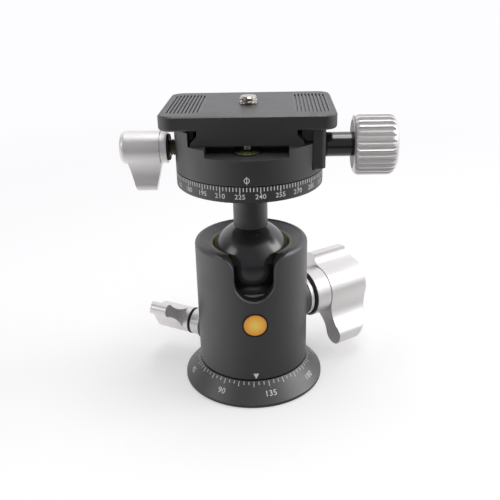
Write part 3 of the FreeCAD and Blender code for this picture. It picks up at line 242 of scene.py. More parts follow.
@functools.cache
def edge_wear_group() -> Tree:
    """Mask of rubbed edges, broken up by fine noise.

    Returns:
        The group, with Reach and Strength in and Mask out.
    """
    tree, graph, given, result = new_group(
        "edge_wear", [("Reach", "Float", 0.0003), ("Strength", "Float", 1.0)], [("Mask", "Float")])
    least_bend, full_bend = 0.01, 0.12
    least_noise, full_noise = 0.38, 0.66
    rounded = graph.add("Bevel", {"Radius": given.outputs["Reach"]}, samples=6)
    flat = graph.add("NewGeometry")
    along = graph.vector("DOT_PRODUCT", rounded.outputs[0], flat.outputs["Normal"]).outputs[1]
    edge = graph.spread(graph.math("SUBTRACT", 1.0, along), least_bend, full_bend)
    place = graph.add("TexCoord")
    noise = graph.add("TexNoise", {"Vector": place.outputs["Object"], "Scale": 900.0, "Detail": 3.0})
    broken = graph.spread(noise.outputs[0], least_noise, full_noise)
    mask = graph.math("MULTIPLY", graph.math("MULTIPLY", edge, broken), given.outputs["Strength"],
                      clamp=True)
    graph.feed(result.inputs["Mask"], mask)
    return tree


@functools.cache
def blasted_group() -> Tree:
    """Fine pebble of a bead-blasted and anodised skin.

    Returns:
        The group, with Scale in and Height and Tone out.
    """
    tree, graph, given, result = new_group(
        "blasted_grain", [("Scale", "Float", 7000.0)], [("Height", "Float"), ("Tone", "Float")])
    place = graph.add("TexCoord").outputs["Object"]
    fine = graph.add("TexNoise", {"Vector": place, "Scale": given.outputs["Scale"], "Detail": 2.0})
    broad = graph.add("TexNoise", {"Vector": place, "Scale": 60.0, "Detail": 4.0, "Roughness": 0.6})
    graph.feed(result.inputs["Height"], fine.outputs[0])
    graph.feed(result.inputs["Tone"], even_out(graph, broad.outputs[0]))
    return tree


@functools.cache
def turned_group() -> Tree:
    """Fine rings that a lathe leaves round an axis, on barrels and end faces alike.

    Returns:
        The group, with Origin, Axis and Pitch in and Height and Tone out.
    """
    tree, graph, given, result = new_group(
        "turned_lines",
        [("Origin", "Vector", (0.0, 0.0, 0.0)), ("Axis", "Vector", (0.0, 0.0, 1.0)),
         ("Pitch", "Float", 0.00012)],
        [("Height", "Float"), ("Tone", "Float")])
    band_share = 0.09
    place = graph.add("TexCoord").outputs["Object"]
    arm = graph.vector("SUBTRACT", place, given.outputs["Origin"]).outputs[0]
    along = graph.vector("DOT_PRODUCT", arm, given.outputs["Axis"]).outputs[1]
    across = graph.vector("CROSS_PRODUCT", arm, given.outputs["Axis"]).outputs[0]
    radius = graph.vector("LENGTH", across).outputs[1]
    steps = graph.math("DIVIDE", graph.math("ADD", along, radius), given.outputs["Pitch"])
    lines = graph.add("TexNoise", {"W": steps, "Scale": 1.0, "Detail": 2.0}, noise_dimensions="1D")
    bands = graph.add("TexNoise", {"W": steps, "Scale": band_share, "Detail": 2.0}, noise_dimensions="1D")
    graph.feed(result.inputs["Height"], lines.outputs[0])
    graph.feed(result.inputs["Tone"], even_out(graph, bands.outputs[0]))
    return tree


@functools.cache
def drawn_group() -> Tree:
    """Hair lines that run along an axis, as on an extruded and brushed bar.

    Returns:
        The group, with Axis and Pitch in and Height and Tone out.
    """
    tree, graph, given, result = new_group(
        "drawn_lines", [("Axis", "Vector", (1.0, 0.0, 0.0)), ("Pitch", "Float", 0.00015)],
        [("Height", "Float"), ("Tone", "Float")])
    squeeze = 0.97
    band_share = 0.12
    place = graph.add("TexCoord").outputs["Object"]
    along = graph.vector("DOT_PRODUCT", place, given.outputs["Axis"]).outputs[1]
    shift = graph.add("VectorMath", {0: given.outputs["Axis"]}, operation="SCALE")
    graph.feed(shift.inputs["Scale"], graph.math("MULTIPLY", along, squeeze))
    squeezed = graph.vector("SUBTRACT", place, shift.outputs[0]).outputs[0]
    scale = graph.math("DIVIDE", 1.0, given.outputs["Pitch"])
    lines = graph.add("TexNoise", {"Vector": squeezed, "Scale": scale, "Detail": 2.0})
    band_scale = graph.math("MULTIPLY", scale, band_share)
    bands = graph.add("TexNoise", {"Vector": squeezed, "Scale": band_scale, "Detail": 2.0})
    graph.feed(result.inputs["Height"], lines.outputs[0])
    graph.feed(result.inputs["Tone"], even_out(graph, bands.outputs[0]))
    return tree


@functools.cache
def handling_group() -> Tree:
    """Marks of use: soft finger smudges, and specks of dust on what faces up.

    Returns:
        The group, with Dust in and Smudge and Speck out.
    """
    tree, graph, given, result = new_group(
        "handling", [("Dust", "Float", 0.5)], [("Smudge", "Float"), ("Speck", "Float")])
    place = graph.add("TexCoord").outputs["Object"]
    soft = graph.add("TexNoise", {"Vector": place, "Scale": 85.0, "Detail": 3.0, "Distortion": 0.6})
    graph.feed(result.inputs["Smudge"], graph.spread(soft.outputs[0], 0.42, 0.72))
    cells = graph.add("TexVoronoi", {"Vector": place, "Scale": 420.0, "Randomness": 1.0})
    speck_core, speck_edge = 0.05, 0.09
    near = graph.spread(cells.outputs["Distance"], speck_core, speck_edge, 1.0, 0.0)
    chance = graph.add("SeparateColor", {0: cells.outputs["Color"]}).outputs[0]
    sparse = graph.spread(chance, 0.9, 0.93)
    up = graph.add("SeparateXYZ", {0: graph.add("NewGeometry").outputs["Normal"]}).outputs[2]
    facing = graph.spread(up, 0.2, 0.9)
    speck = graph.math("MULTIPLY", graph.math("MULTIPLY", near, sparse), facing)
    graph.feed(result.inputs["Speck"], graph.math("MULTIPLY", speck, given.outputs["Dust"], clamp=True))
    return tree


# ---------------------------------------------------------------- finishes

class Grain(Enum):
    """What made the surface of a piece."""

    BLASTED = "blasted"
    TURNED = "turned"
    DRAWN = "drawn"
    MOULDED = "moulded"


@dataclass(frozen=True)
class Finish:
    """A finish: its colour, its gloss and the marks of its making and use.

    A piece's finish is one of these, or of the classes below where it isn't plain metal or plastic.
    """

    name: str
    slot: Optional[str]
    color: Color
    roughness: float
    metallic: float = 0.0
    grain: Grain = Grain.BLASTED
    grain_depth: float = 0.000004
    pitch: float = 0.00014
    origin: tuple[float, float, float] = (0.0, 0.0, 0.0)
    axis: tuple[float, float, float] = (0.0, 0.0, 1.0)
    tone_shift: float = 0.06
    smudge: float = 0.05
    dust: float = 0.0
    wear: float = 0.0
    wear_color: Color = (0.5, 0.5, 0.5)
    coat: float = 0.0
    specular: float = 0.5
    index: float = 1.5

    def grain_node(self, graph: Graph) -> Node:
        """Place the grain's group.

        Args:
            graph: Graph of the material.

        Returns:
            The group node.
        """
        if self.grain is Grain.TURNED:
            inputs = {"Origin": self.origin, "Axis": self.axis, "Pitch": self.pitch}
            tree = turned_group()
        elif self.grain is Grain.DRAWN:
            inputs = {"Axis": self.axis, "Pitch": self.pitch}
            tree = drawn_group()
        else:
            inputs = {"Scale": 1.0 / self.pitch}
            tree = blasted_group()
        node = graph.add("Group", node_tree=tree)
        for label, value in inputs.items():
            graph.feed(node.inputs[label], value)
        return node

    def handled(self, graph: Graph) -> tuple[Node, Socket]:
        """Place the marks of use.

        Args:
            graph: Graph of the material.

        Returns:
            The group node, and the roughness with its smudges.
        """
        handling = graph.add("Group", node_tree=handling_group())
        graph.feed(handling.inputs["Dust"], self.dust)
        smudged = graph.math("MULTIPLY", handling.outputs["Smudge"], self.smudge)
        return handling, graph.math("ADD", smudged, self.roughness)

    def bump(self, graph: Graph, grain: Node) -> Socket:
        """Turn the grain into a normal.

        Args:
            graph: Graph of the material.
            grain: The grain's group node.

        Returns:
            The bumped normal's socket.
        """
        node = graph.add("Bump", {"Height": grain.outputs["Height"], "Distance": self.grain_depth,
                                  "Strength": 1.0})
        return node.outputs[0]

    def shader(self, graph: Graph) -> Node:
        """Lay the finish's nodes.

        Args:
            graph: Graph of the material.

        Returns:
            The Principled shader.
        """
        grain = self.grain_node(graph)
        handling, rough = self.handled(graph)
        light = tuple(min(channel * (1 + self.tone_shift), 1.0) for channel in self.color)
        dark = tuple(channel * (1 - self.tone_shift) for channel in self.color)
        color = graph.blend(grain.outputs["Tone"], dark, light)
        metallic: Value = self.metallic
        if self.wear > 0:
            worn = graph.add("Group", node_tree=edge_wear_group())
            graph.feed(worn.inputs["Reach"], WEAR_REACH)
            graph.feed(worn.inputs["Strength"], self.wear)
            color = graph.blend(worn.outputs[0], color, self.wear_color)
            if self.metallic < 1:
                metallic = graph.math("MAXIMUM", worn.outputs[0], self.metallic)
        if self.dust > 0:
            color = graph.blend(handling.outputs["Speck"], color, DUST_COLOR)
        return graph.add("BsdfPrincipled", {
            "Base Color": color, "Roughness": rough, "Metallic": metallic, "Normal": self.bump(graph, grain),
            "Coat Weight": self.coat, "Coat Roughness": 0.06, "Specular IOR Level": self.specular,
            "IOR": self.index})

    def material(self) -> bpy.types.Material:
        """The Blender material, made the first time it is asked for."""
        return made_material(self)


@dataclass(frozen=True)
class Enamel(Finish):
    """Glossy enamel in a badge, brighter towards its middle."""

    middle: tuple[float, float, float] = (0.0, 0.0, 0.0)
    reach: float = 0.0045
    middle_color: Color = (1.0, 1.0, 1.0)
    middle_shade: float = 0.93

    def shader(self, graph: Graph) -> Node:
        """Lay the enamel's nodes.

        Args:
            graph: Graph of the material.

        Returns:
            The Principled shader.
        """
        place = graph.add("TexCoord").outputs["Object"]
        away = graph.vector("DISTANCE", place, self.middle).outputs[1]
        share = graph.spread(away, 0.0, self.reach)
        grain = self.grain_node(graph)
        shaded = tuple(channel * self.middle_shade for channel in self.middle_color)
        lit = graph.blend(grain.outputs["Tone"], self.middle_color, shaded)
        color = graph.blend(share, lit, self.color)
        return graph.add("BsdfPrincipled", {
            "Base Color": color, "Roughness": self.handled(graph)[1], "Normal": self.bump(graph, grain),
            "Coat Weight": self.coat, "Coat Roughness": 0.04})


@dataclass(frozen=True)
class Clear(Finish):
    """Clear acrylic, air or liquid, let through as glass or by its alpha."""

    index: float = 1.49
    through: float = 1.0
    alpha: float = 1.0

    def shader(self, graph: Graph) -> Node:
        """Lay the clear finish's nodes.

        Args:
            graph: Graph of the material.

        Returns:
            The Principled shader.
        """
        dark = tuple(channel * (1 - self.tone_shift) for channel in self.color)
        color = graph.blend(self.grain_node(graph).outputs["Tone"], self.color, dark)
        return graph.add("BsdfPrincipled", {
            "Base Color": color, "Roughness": self.handled(graph)[1], "Transmission Weight": self.through,
            "IOR": self.index, "Alpha": self.alpha})


def empty_material(name: str) -> tuple[bpy.types.Material, Graph]:
    """Start a material with no nodes.

    Args:
        name: Its name.

    Returns:
        The material and its graph.
    """
    material = bpy.data.materials.new(name)
    material.use_nodes = True
    material.node_tree.nodes.clear()
    return material, Graph(material.node_tree)


@functools.cache
def made_material(finish: Finish) -> bpy.types.Material:
    """Build a finish's material once.

    Args:
        finish: The finish.

    Returns:
        The material.
    """
    material, graph = empty_material(finish.name)
    graph.add("OutputMaterial", {"Surface": finish.shader(graph).outputs[0]})
    return material


def outward(azimuth: float) -> tuple[float, float, float]:
    """Level direction at an azimuth.

    Args:
        azimuth: Degrees from +X.

    Returns:
        The unit vector.
    """
    angle = math.radians(azimuth)
    return math.cos(angle), math.sin(angle), 0.0


BLACK = tone(24, 23, 26)
SILVER = tone(238, 235, 234)
RUBBED = tone(150, 149, 150)

BLACK_ANODISED = Finish("black_anodised", "black_aluminium", BLACK, 0.45, pitch=0.00012, grain_depth=0.000005,
                        tone_shift=0.05, smudge=0.05, dust=0.7, wear=0.45, wear_color=RUBBED, specular=1.0,
                        index=1.68)
BLACK_TURNED = Finish("black_turned", "black_aluminium", tone(29, 28, 31), 0.38, grain=Grain.TURNED,
                      grain_depth=0.000003, tone_shift=0.08, dust=0.4, wear=0.3, wear_color=RUBBED,
                      specular=1.0, index=1.6)
BALL_BLACK = Finish("ball_black", "gloss_black", tone(30, 30, 32), 0.2, grain=Grain.TURNED, pitch=0.0002,
                    origin=(0.0, 0.0, 0.0498), grain_depth=0.0000006, tone_shift=0.05, smudge=0.07, dust=0.5,
                    specular=0.8, index=1.65)
SLEEVE_BLACK = Finish("sleeve_black", "gloss_black", tone(26, 26, 28), 0.13, grain=Grain.TURNED, pitch=0.0002,
                      origin=(0.0, 0.0, 0.094), axis=(1.0, 0.0, 0.0), grain_depth=0.0000005, smudge=0.05,
                      coat=0.3, specular=0.8, index=1.6)
STEEL = Finish("turned_steel", "steel", tone(190, 188, 184), 0.26, 1.0, Grain.TURNED, tone_shift=0.1)
STUD_STEEL = Finish("stud_steel", "steel", tone(196, 190, 182), 0.2, 1.0, Grain.TURNED, pitch=0.0003,
                    origin=(0.0, 0.0049, 0.1), grain_depth=0.000001, tone_shift=0.12)
BRONZED_STEEL = Finish("bronzed_steel", "steel", tone(150, 140, 120), 0.26, 1.0, Grain.TURNED,
                       axis=(-1.0, 0.0, 0.0), origin=(0.0, 0.0, 0.0937), pitch=0.0003,
                       grain_depth=0.000001, tone_shift=0.15)
BRASS = Finish("ring_brass", "brass", tone(104, 94, 58), 0.32, 1.0, Grain.TURNED, tone_shift=0.12)
NYLON = Finish("nylon", "nylon", tone(228, 224, 212), 0.5, grain=Grain.MOULDED, pitch=0.0004)
RUBBER = Finish("black_rubber", "black_rubber", tone(34, 34, 36), 0.62, grain=Grain.MOULDED, pitch=0.00025,
                grain_depth=0.000012, dust=0.6, specular=0.35)
PAD_RUBBER = Finish("pad_rubber", "black_rubber", tone(58, 58, 60), 0.48, grain=Grain.MOULDED, pitch=0.0003,
                    grain_depth=0.00001, dust=1.0, specular=1.0, index=1.75)
BLACK_PLASTIC = Finish("black_plastic", "black_plastic", tone(24, 24, 25), 0.3, grain=Grain.MOULDED,
                       pitch=0.0004)
PRINT_WHITE = Finish("print_white", None, tone(214, 213, 208), 0.55, grain=Grain.MOULDED, pitch=0.0001,
                     tone_shift=0.1)
AMBER = Enamel("amber_enamel", "amber_enamel", tone(246, 168, 52), 0.2, coat=0.6, pitch=0.0003,
               middle=(0.00167, -0.0213, 0.0321), middle_color=tone(255, 216, 100), grain_depth=0.000001)
LIQUID = Clear("level_green", "green_liquid", tone(104, 116, 50), 0.02, index=1.36, through=0.2,
               tone_shift=0.04)
LENS = Clear("level_clear", "clear", tone(150, 160, 120), 0.03, index=1.49, through=0.0, alpha=0.16,
             tone_shift=0.02)
BUBBLE = Clear("level_air", "clear", tone(160, 170, 110), 0.02, index=1.0, through=0.0, alpha=0.35,
               tone_shift=0.01)


def satin(name: str, azimuth: float, height: float, grain: Grain) -> Finish:
    """Satin aluminium with its lines laid to a knob's own axis.

    Args:
        name: Name of the finish.
        azimuth: Direction of the knob's axis, degrees.
        height: Height of the axis, millimetres.
        grain: How the piece was made.

    Returns:
        The finish.
    """
    return Finish(name, "silver_aluminium", SILVER, 0.34, 0.66, grain, axis=outward(azimuth),
                  origin=(0.0, 0.0, height * MM), pitch=0.00016, grain_depth=0.0000012, tone_shift=0.015,
                  smudge=0.05)


# ---------------------------------------------------------------- mesh work

def show(name: str, mesh: Mesh, body: str, finish: Finish, replaces: Sequence[str] = ()) -> None:
    """Put a finished mesh in the scene as a piece of a body.

    Args:
        name: Name of the piece.
        mesh: Its mesh, in metres, in the head's own frame.
        body: The body that it rides on.
        finish: Its finish.
        replaces: Nodes that it stands for.
    """
    piece = bpy.data.objects.new(name, mesh)
    bpy.context.scene.collection.objects.link(piece)
    mesh.materials.clear()
    mesh.materials.append(finish.material())
    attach(piece, body)
    if replaces:
        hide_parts(*replaces)
    log.info("made %s on %s: %d faces", name, body, len(mesh.polygons))


def dress(finish: Finish, *nodes: str) -> None:
    """Give a finish to nodes whose shape stays.

    Args:
        finish: The finish.
        *nodes: Names of the nodes.
    """
    for node in nodes:
        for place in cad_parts[node].material_slots:
            place.material = finish.material()
    log.info("dressed %s in %s", ", ".join(nodes), finish.name)


def mesh_from(name: str, points: Sequence[Vector], faces: Sequence[Sequence[int]]) -> Mesh:
    """Mesh with faces turned outward and smooth but for its sharp edges.

    Args:
        name: Name of the mesh.
        points: Corners, in metres.
        faces: Corner numbers of each face.

    Returns:
        The mesh.
    """
    mesh = bpy.data.meshes.new(name)
    mesh.from_pydata([tuple(point) for point in points], [], faces)
    work = bmesh.new()
    work.from_mesh(mesh)
    bmesh.ops.recalc_face_normals(work, faces=work.faces)
    work.to_mesh(mesh)
    work.free()
    for face in mesh.polygons:
        face.use_smooth = True
    mesh.set_sharp_from_angle(angle=SHARP_ANGLE)
    return mesh


@dataclass(frozen=True)
class Thread:
    """A screw thread between two heights, fading out at its far end."""

    pitch: float
    depth: float
    low: float
    high: float
    run_out: float = 0.6
    steepness: float = 1.25
    crest: float = 0.1

    def cut(self, height: float, turn: float) -> float:
        """Depth of the groove at a place.

        Args:
            height: Height along the axis, millimetres.
            turn: Share of a turn round the axis.

        Returns:
            How far the surface lies below the crest, millimetres.
        """
        if not self.low < height < self.high:
            return 0.0
        phase = (height / self.pitch - turn) % 1.0
        wave = 1 - abs(2 * phase - 1)
        groove = min(1.0, max(0.0, self.steepness * wave - self.crest))
        fade = min(1.0, (self.high - height) / self.run_out, (height - self.low) / self.run_out)
        return self.depth * groove * fade


def turned_mesh(name: str, outline: Outline, stand: Matrix, *, segments: int = 96,
                thread: Optional[Thread] = None) -> Mesh:
    """Solid of revolution, with a real helical thread where it has one.

    Args:
        name: Name of the mesh.
        outline: Radius and height of each corner, millimetres. It starts and ends on the axis.
        stand: Places the piece's own axis in the head.
        segments: Number of sides.
        thread: The thread, if any.

    Returns:
        The mesh, in metres.
    """
    rows: list[tuple[float, float]] = []
    for (radius, height), (next_radius, next_height) in zip(outline, outline[1:]):
        steps = 1
        upright = abs(radius - next_radius) < NIL
        if thread and upright and next_height > thread.low and height < thread.high:
            steps = max(1, round((next_height - height) * ROWS_PER_TURN / thread.pitch))
        for step in range(steps):
            share = step / steps
            rows.append((radius + (next_radius - radius) * share,
                         height + (next_height - height) * share))
    rows.append(outline[-1])
    points: list[Vector] = []
    rings: list[list[int]] = []
    for radius, height in rows:
        count = 1 if radius < NIL else segments
        ring = []
        for side in range(count):
            turn = side / segments
            reach = radius - (thread.cut(height, turn) if thread and count > 1 else 0.0)
            angle = 2 * math.pi * turn
            ring.append(len(points))
            points.append(stand @ (Vector((reach * math.cos(angle), reach * math.sin(angle), height)) * MM))
        rings.append(ring)
    faces: list[list[int]] = []
    for low, high in zip(rings, rings[1:]):
        for side in range(segments):
            after = (side + 1) % segments
            if len(low) == 1 and len(high) > 1:
                faces.append([low[0], high[side], high[after]])
            elif len(high) == 1 and len(low) > 1:
                faces.append([low[side], low[after], high[0]])
            elif len(low) > 1:
                faces.append([low[side], low[after], high[after], high[side]])
    return mesh_from(name, points, faces)


def outward_stand(azimuth: float, height: float) -> Matrix:
    """Place of a piece whose own Z points level outward and whose own X points up.

    Args:
        azimuth: Direction, degrees.
        height: Height of its axis, millimetres.

    Returns:
        The matrix.
    """
    out = Vector(outward(azimuth))
    up = Vector((0.0, 0.0, 1.0))
    turn = Matrix((up, out.cross(up), out)).transposed().to_4x4()
    return Matrix.Translation((0.0, 0.0, height * MM)) @ turn


def cut_away(mesh: Mesh, low: Vector, high: Vector) -> Mesh:
    """Cut a box out of a mesh.

    Args:
        mesh: The mesh, in metres.
        low: Lowest corner of the box, millimetres.
        high: Highest corner of the box, millimetres.

    Returns:
        The cut mesh.
    """
    corners = [Vector((x, y, z)) * MM
               for x in (low.x, high.x) for y in (low.y, high.y) for z in (low.z, high.z)]
    sides = [(0, 1, 3, 2), (4, 6, 7, 5), (0, 4, 5, 1), (2, 3, 7, 6), (0, 2, 6, 4), (1, 5, 7, 3)]
    cutter = bpy.data.objects.new("cutter", mesh_from("cutter", corners, sides))
    target = bpy.data.objects.new("target", mesh)
    for item in (cutter, target):
        bpy.context.scene.collection.objects.link(item)
    boolean = target.modifiers.new("cut", "BOOLEAN")
    boolean.operation = "DIFFERENCE"
    boolean.object = cutter
    boolean.solver = "EXACT"
    seen = bpy.context.evaluated_depsgraph_get()
    result = bpy.data.meshes.new_from_object(target.evaluated_get(seen))
    for item in (cutter, target):
        bpy.data.objects.remove(item)
    result.set_sharp_from_angle(angle=SHARP_ANGLE)
    return result


# ---------------------------------------------------------------- printing

@dataclass(frozen=True)
class Drum:
    """Upright round wall that marks are printed on. Up is height."""

    radius: float

    def at(self, azimuth: float) -> Place:
        """Map of flat marks to the wall, centred at an azimuth.

        Args:
            azimuth: Where the marks' own zero is, degrees.

        Returns:
            Function of across, up and lift, in millimetres, that gives the place in metres.
        """
        def place(across: float, up: float, lift: float) -> Vector:
            """One point of the wall."""
            angle = math.radians(azimuth) + across / self.radius
            reach = self.radius + lift
            return Vector((reach * math.cos(angle), reach * math.sin(angle), up)) * MM
        return place


@dataclass(frozen=True)
class Cone:
    """Sloping round flange that marks are printed on. Up is measured from its foot along the slope."""

    foot_radius: float
    foot: float
    top_radius: float
    top: float

    def slope(self) -> tuple[float, float]:
        """Radius and height that one millimetre up the slope adds."""
        reach, rise = self.top_radius - self.foot_radius, self.top - self.foot
        length = math.hypot(reach, rise)
        return reach / length, rise / length

    def up_to(self, radius: float) -> float:
        """Distance up the slope where it passes a radius."""
        return (radius - self.foot_radius) / self.slope()[0]

    def at(self, azimuth: float) -> Place:
        """Map of flat marks to the slope, centred at an azimuth.

        Args:
            azimuth: Where the marks' own zero is, degrees.

        Returns:
            Function of across, up and lift, in millimetres, that gives the place in metres.
        """
        inward, rise = self.slope()

        def place(across: float, up: float, lift: float) -> Vector:
            """One point of the slope."""
            flat = self.foot_radius + up * inward
            angle = math.radians(azimuth) + across / flat
            reach = flat + lift * rise
            height = self.foot + up * rise - lift * inward
            return Vector((reach * math.cos(angle), reach * math.sin(angle), height)) * MM
        return place


@dataclass
class Marks:
    """Marks printed in one go, gathered into one mesh of thin closed solids."""

    points: list[Vector]
    faces: list[list[int]]

    def slab(self, outline: Outline, place: Place) -> None:
        """Add a thin slab with a convex outline.

        Args:
            outline: Across and up of each corner, millimetres, in order.
            place: Where the marks go.
        """
        start, count = len(self.points), len(outline)
        for lift in (-PRINT_SUNK, PRINT_PROUD):
            self.points += [place(across, up, lift) for across, up in outline]
        self.faces.append([start + side for side in reversed(range(count))])
        self.faces.append([start + count + side for side in range(count)])
        for side in range(count):
            after = (side + 1) % count
            self.faces.append([start + side, start + after, start + count + after, start + count + side])

    def ring(self, line: Outline, width: float, place: Place) -> None:
        """Add a closed drawn line.

        Args:
            line: Across and up of each point, millimetres.
            width: Width of the line, millimetres.
            place: Where the marks go.
        """
        for (x, y), (far_x, far_y) in zip(line, [*line[1:], line[0]]):
            length = math.hypot(far_x - x, far_y - y)
            side_x = -(far_y - y) / length * width / 2
            side_y = (far_x - x) / length * width / 2
            self.slab([(x - side_x, y - side_y), (far_x - side_x, far_y - side_y),
                       (far_x + side_x, far_y + side_y), (x + side_x, y + side_y)], place)

    def number(self, text: str, cap: float, top: float, place: Place) -> None:
        """Add a number, centred across.

        Args:
            text: Its digits.
            cap: Height of the digits, millimetres.
            top: Up of the digits' top, millimetres.
            place: Where the marks go.
        """
        curve = bpy.data.curves.new(text, "FONT")
        curve.body = text
        curve.size = cap / CAP_SHARE
        curve.space_character = DIGIT_SPACING
        curve.offset = cap * DIGIT_WEIGHT
        curve.resolution_u = 4
        curve.extrude = (PRINT_SUNK + PRINT_PROUD) / 2
        curve.align_x = "CENTER"
        item = bpy.data.objects.new(text, curve)
        bpy.context.scene.collection.objects.link(item)
        glyphs = bpy.data.meshes.new_from_object(item.evaluated_get(bpy.context.evaluated_depsgraph_get()))
        bpy.data.objects.remove(item)
        bpy.data.curves.remove(curve)
        start = len(self.points)
        middle = (PRINT_PROUD - PRINT_SUNK) / 2
        foot = top - cap
        self.points += [place(spot.co.x, foot + spot.co.y, middle + spot.co.z) for spot in glyphs.vertices]
        self.faces += [[start + corner for corner in face.vertices] for face in glyphs.polygons]
        bpy.data.meshes.remove(glyphs)

    def show(self, name: str, body: str) -> None:
        """Put the marks in the scene.

        Args:
            name: Name of the piece.
            body: The body that carries them.
        """
        show(name, mesh_from(name, self.points, self.faces), body, PRINT_WHITE)


def tick(marks: Marks, top: float, length: float, width: float, place: Place) -> None:
    """Add one upright scale line.

    Args:
        marks: The marks that it joins.
        top: Up of its upper end, millimetres.
        length: Its length, millimetres.
        width: Its width, millimetres.
        place: Where the marks go.
    """
    half = width / 2
    marks.slab([(-half, top - length), (half, top - length), (half, top), (-half, top)], place)


@dataclass(frozen=True)
class Scale:
    """Degree scale: lines at even steps, the longer ones every few, and numbers under some."""

    zero: float
    line_step: float
    long_step: int
    number_step: int
    line_top: float
    short_line: float
    long_line: float
    line_width: float
    number_top: float
    number_cap: float

    def print_on(self, wall: Union[Drum, Cone], name: str, body: str) -> None:
        """Print the scale all round a wall.

        Args:
            wall: The wall.
            name: Start of the two pieces' names.
            body: The body that carries them.
        """
        lines, numbers = Marks([], []), Marks([], [])
        for index in range(round(360 / self.line_step)):
            degree = index * self.line_step
            place = wall.at(degree + self.zero)
            length = self.short_line if degree % self.long_step else self.long_line
            tick(lines, self.line_top, length, self.line_width, place)
            if degree % self.number_step == 0:
                numbers.number(str(round(degree)), self.number_cap, self.number_top, place)
        lines.show(name + "_lines", body)
        numbers.show(name + "_numbers", body)


# ---------------------------------------------------------------- sub-assemblies

@dataclass
class Base:
    """Foot of the head: a sloping flange with a degree scale round it."""

    cone: Cone = Cone(27.4, 1.4, 21.4, 8.2)
    scale_radius: float = 21.62
    number_radius: float = 24.0

    def build(self) -> None:
        """Dress the base and print its scale."""
        dress(BLACK_ANODISED, "base_plate")
        dress(BLACK_TURNED, "pan_spindle")
        dress(STEEL, "base_thread_bush", "base_screw_1", "base_screw_2", "base_screw_3", "spindle_retainer",
              "spindle_screw")
        scale = Scale(zero=-208.0, line_step=5.0, long_step=15, number_step=45,
                      line_top=self.cone.up_to(self.scale_radius), short_line=1.2, long_line=1.95,
                      line_width=0.27, number_top=self.cone.up_to(self.number_radius), number_cap=2.15)
        scale.print_on(self.cone, "base_scale", "base")


@dataclass
class Housing:
    """Upright barrel that holds the ball, with its drop notch, badge and index."""

    wall: Drum = Drum(21.3)
    index_low: float = 9.1
    index_high: float = 11.4
    index_half: float = 1.1

    def build(self) -> None:
        """Dress the housing and print its index."""
        dress(BLACK_ANODISED, "housing")
        dress(BLACK_TURNED, "housing_block")
        dress(BLACK_PLASTIC, "badge_bezel")
        dress(AMBER, "badge_disc")
        dress(BRASS, "upper_ball_ring")
        dress(satin("main_rings_silver", MAIN_AZIMUTH, MAIN_HEIGHT, Grain.TURNED), "main_lock_flange",
              "main_lock_bush")
        dress(satin("pan_collar_silver", PAN_AZIMUTH, PAN_HEIGHT, Grain.TURNED), "pan_lock_collar")
        self.print_index()

    def print_index(self) -> None:
        """Print the pointer over the base scale."""
        marks = Marks([], [])
        place = self.wall.at(FRONT + PAN_REST)
        marks.slab([(0, self.index_low), (self.index_half, self.index_high), (0, self.index_high),
                    (-self.index_half, self.index_high)], place)
        marks.show("housing_index", "housing")


@dataclass
class BallClamp:
    """What squeezes the ball: cup, piston and the wedge pin that lifts the piston."""

    def build(self) -> None:
        """Dress the inner pieces."""
        dress(NYLON, "ball_cup")
        dress(satin("piston_silver", 0, 0, Grain.BLASTED), "pressure_piston")
        dress(STEEL, "main_lock_pin")


@dataclass
class LockKnobs:
    """The two lock knobs on the housing."""

    def build(self) -> None:
        """Dress both knobs and their rings."""
        dress(satin("main_collar_silver", MAIN_AZIMUTH, MAIN_HEIGHT, Grain.TURNED), "main_lock_collar")
        dress(satin("main_knob_silver", MAIN_AZIMUTH, MAIN_HEIGHT, Grain.DRAWN), "main_lock_knob")
        dress(satin("pan_knob_silver", PAN_AZIMUTH, PAN_HEIGHT, Grain.DRAWN), "pan_lock_knob")
        dress(RUBBER, "main_lock_ring", "pan_lock_ring")
        dress(NYLON, "pan_lock_pad")
        dress(STEEL, "pan_lock_pin")


@dataclass
class BallAndStem:
    """Ball with its stem, and the graduated ring on top of it."""

    wall: Drum = Drum(26.4)
    scale: Scale = Scale(zero=-320.1, line_step=2.5, long_step=15, number_step=15, line_top=86.45,
                         short_line=1.4, long_line=2.1, line_width=0.3, number_top=84.15, number_cap=1.65)

    def build(self) -> None:
        """Dress the ball, stem and ring and print the ring's scale."""
        dress(BALL_BLACK, "ball")
        dress(BLACK_TURNED, "stem", "ring_retainer")
        dress(BLACK_ANODISED, "graduated_ring")
        dress(STEEL, "ring_screw")
        self.scale.print_on(self.wall, "ring_scale", "ball")


@dataclass
class Clamp:
    """Body of the dovetail clamp, with its level, index and moving jaw."""

    wall: Drum = Drum(26.4)
    index_at: float = 88.85
    index_half: float = 1.35
    circle_radius: float = 0.85
    circle_corners: int = 24
    line_width: float = 0.27

    def build(self) -> None:
        """Dress the clamp, its jaw and its level and print the index."""
        dress(BLACK_ANODISED, "clamp_body", "moving_jaw")
        dress(BLACK_TURNED, "clamp_cap")
        dress(STEEL, "jaw_guide_pin_1", "jaw_guide_pin_2")
        dress(BLACK_PLASTIC, "level_cup")
        dress(LIQUID, "level_liquid")
        dress(BUBBLE, "level_bubble")
        dress(LENS, "level_lens")
        self.print_index()

    def print_index(self) -> None:
        """Print the crossed circle over the ring's scale."""
        marks = Marks([], [])
        place = self.wall.at(FRONT)
        turns = [2 * math.pi * step / self.circle_corners for step in range(self.circle_corners)]
        circle = [(self.circle_radius * math.cos(turn), self.index_at + self.circle_radius * math.sin(turn))
                  for turn in turns]
        marks.ring(circle, self.line_width, place)
        tick(marks, self.index_at + self.index_half, 2 * self.index_half, self.line_width, place)
        marks.show("clamp_index", "clamp")


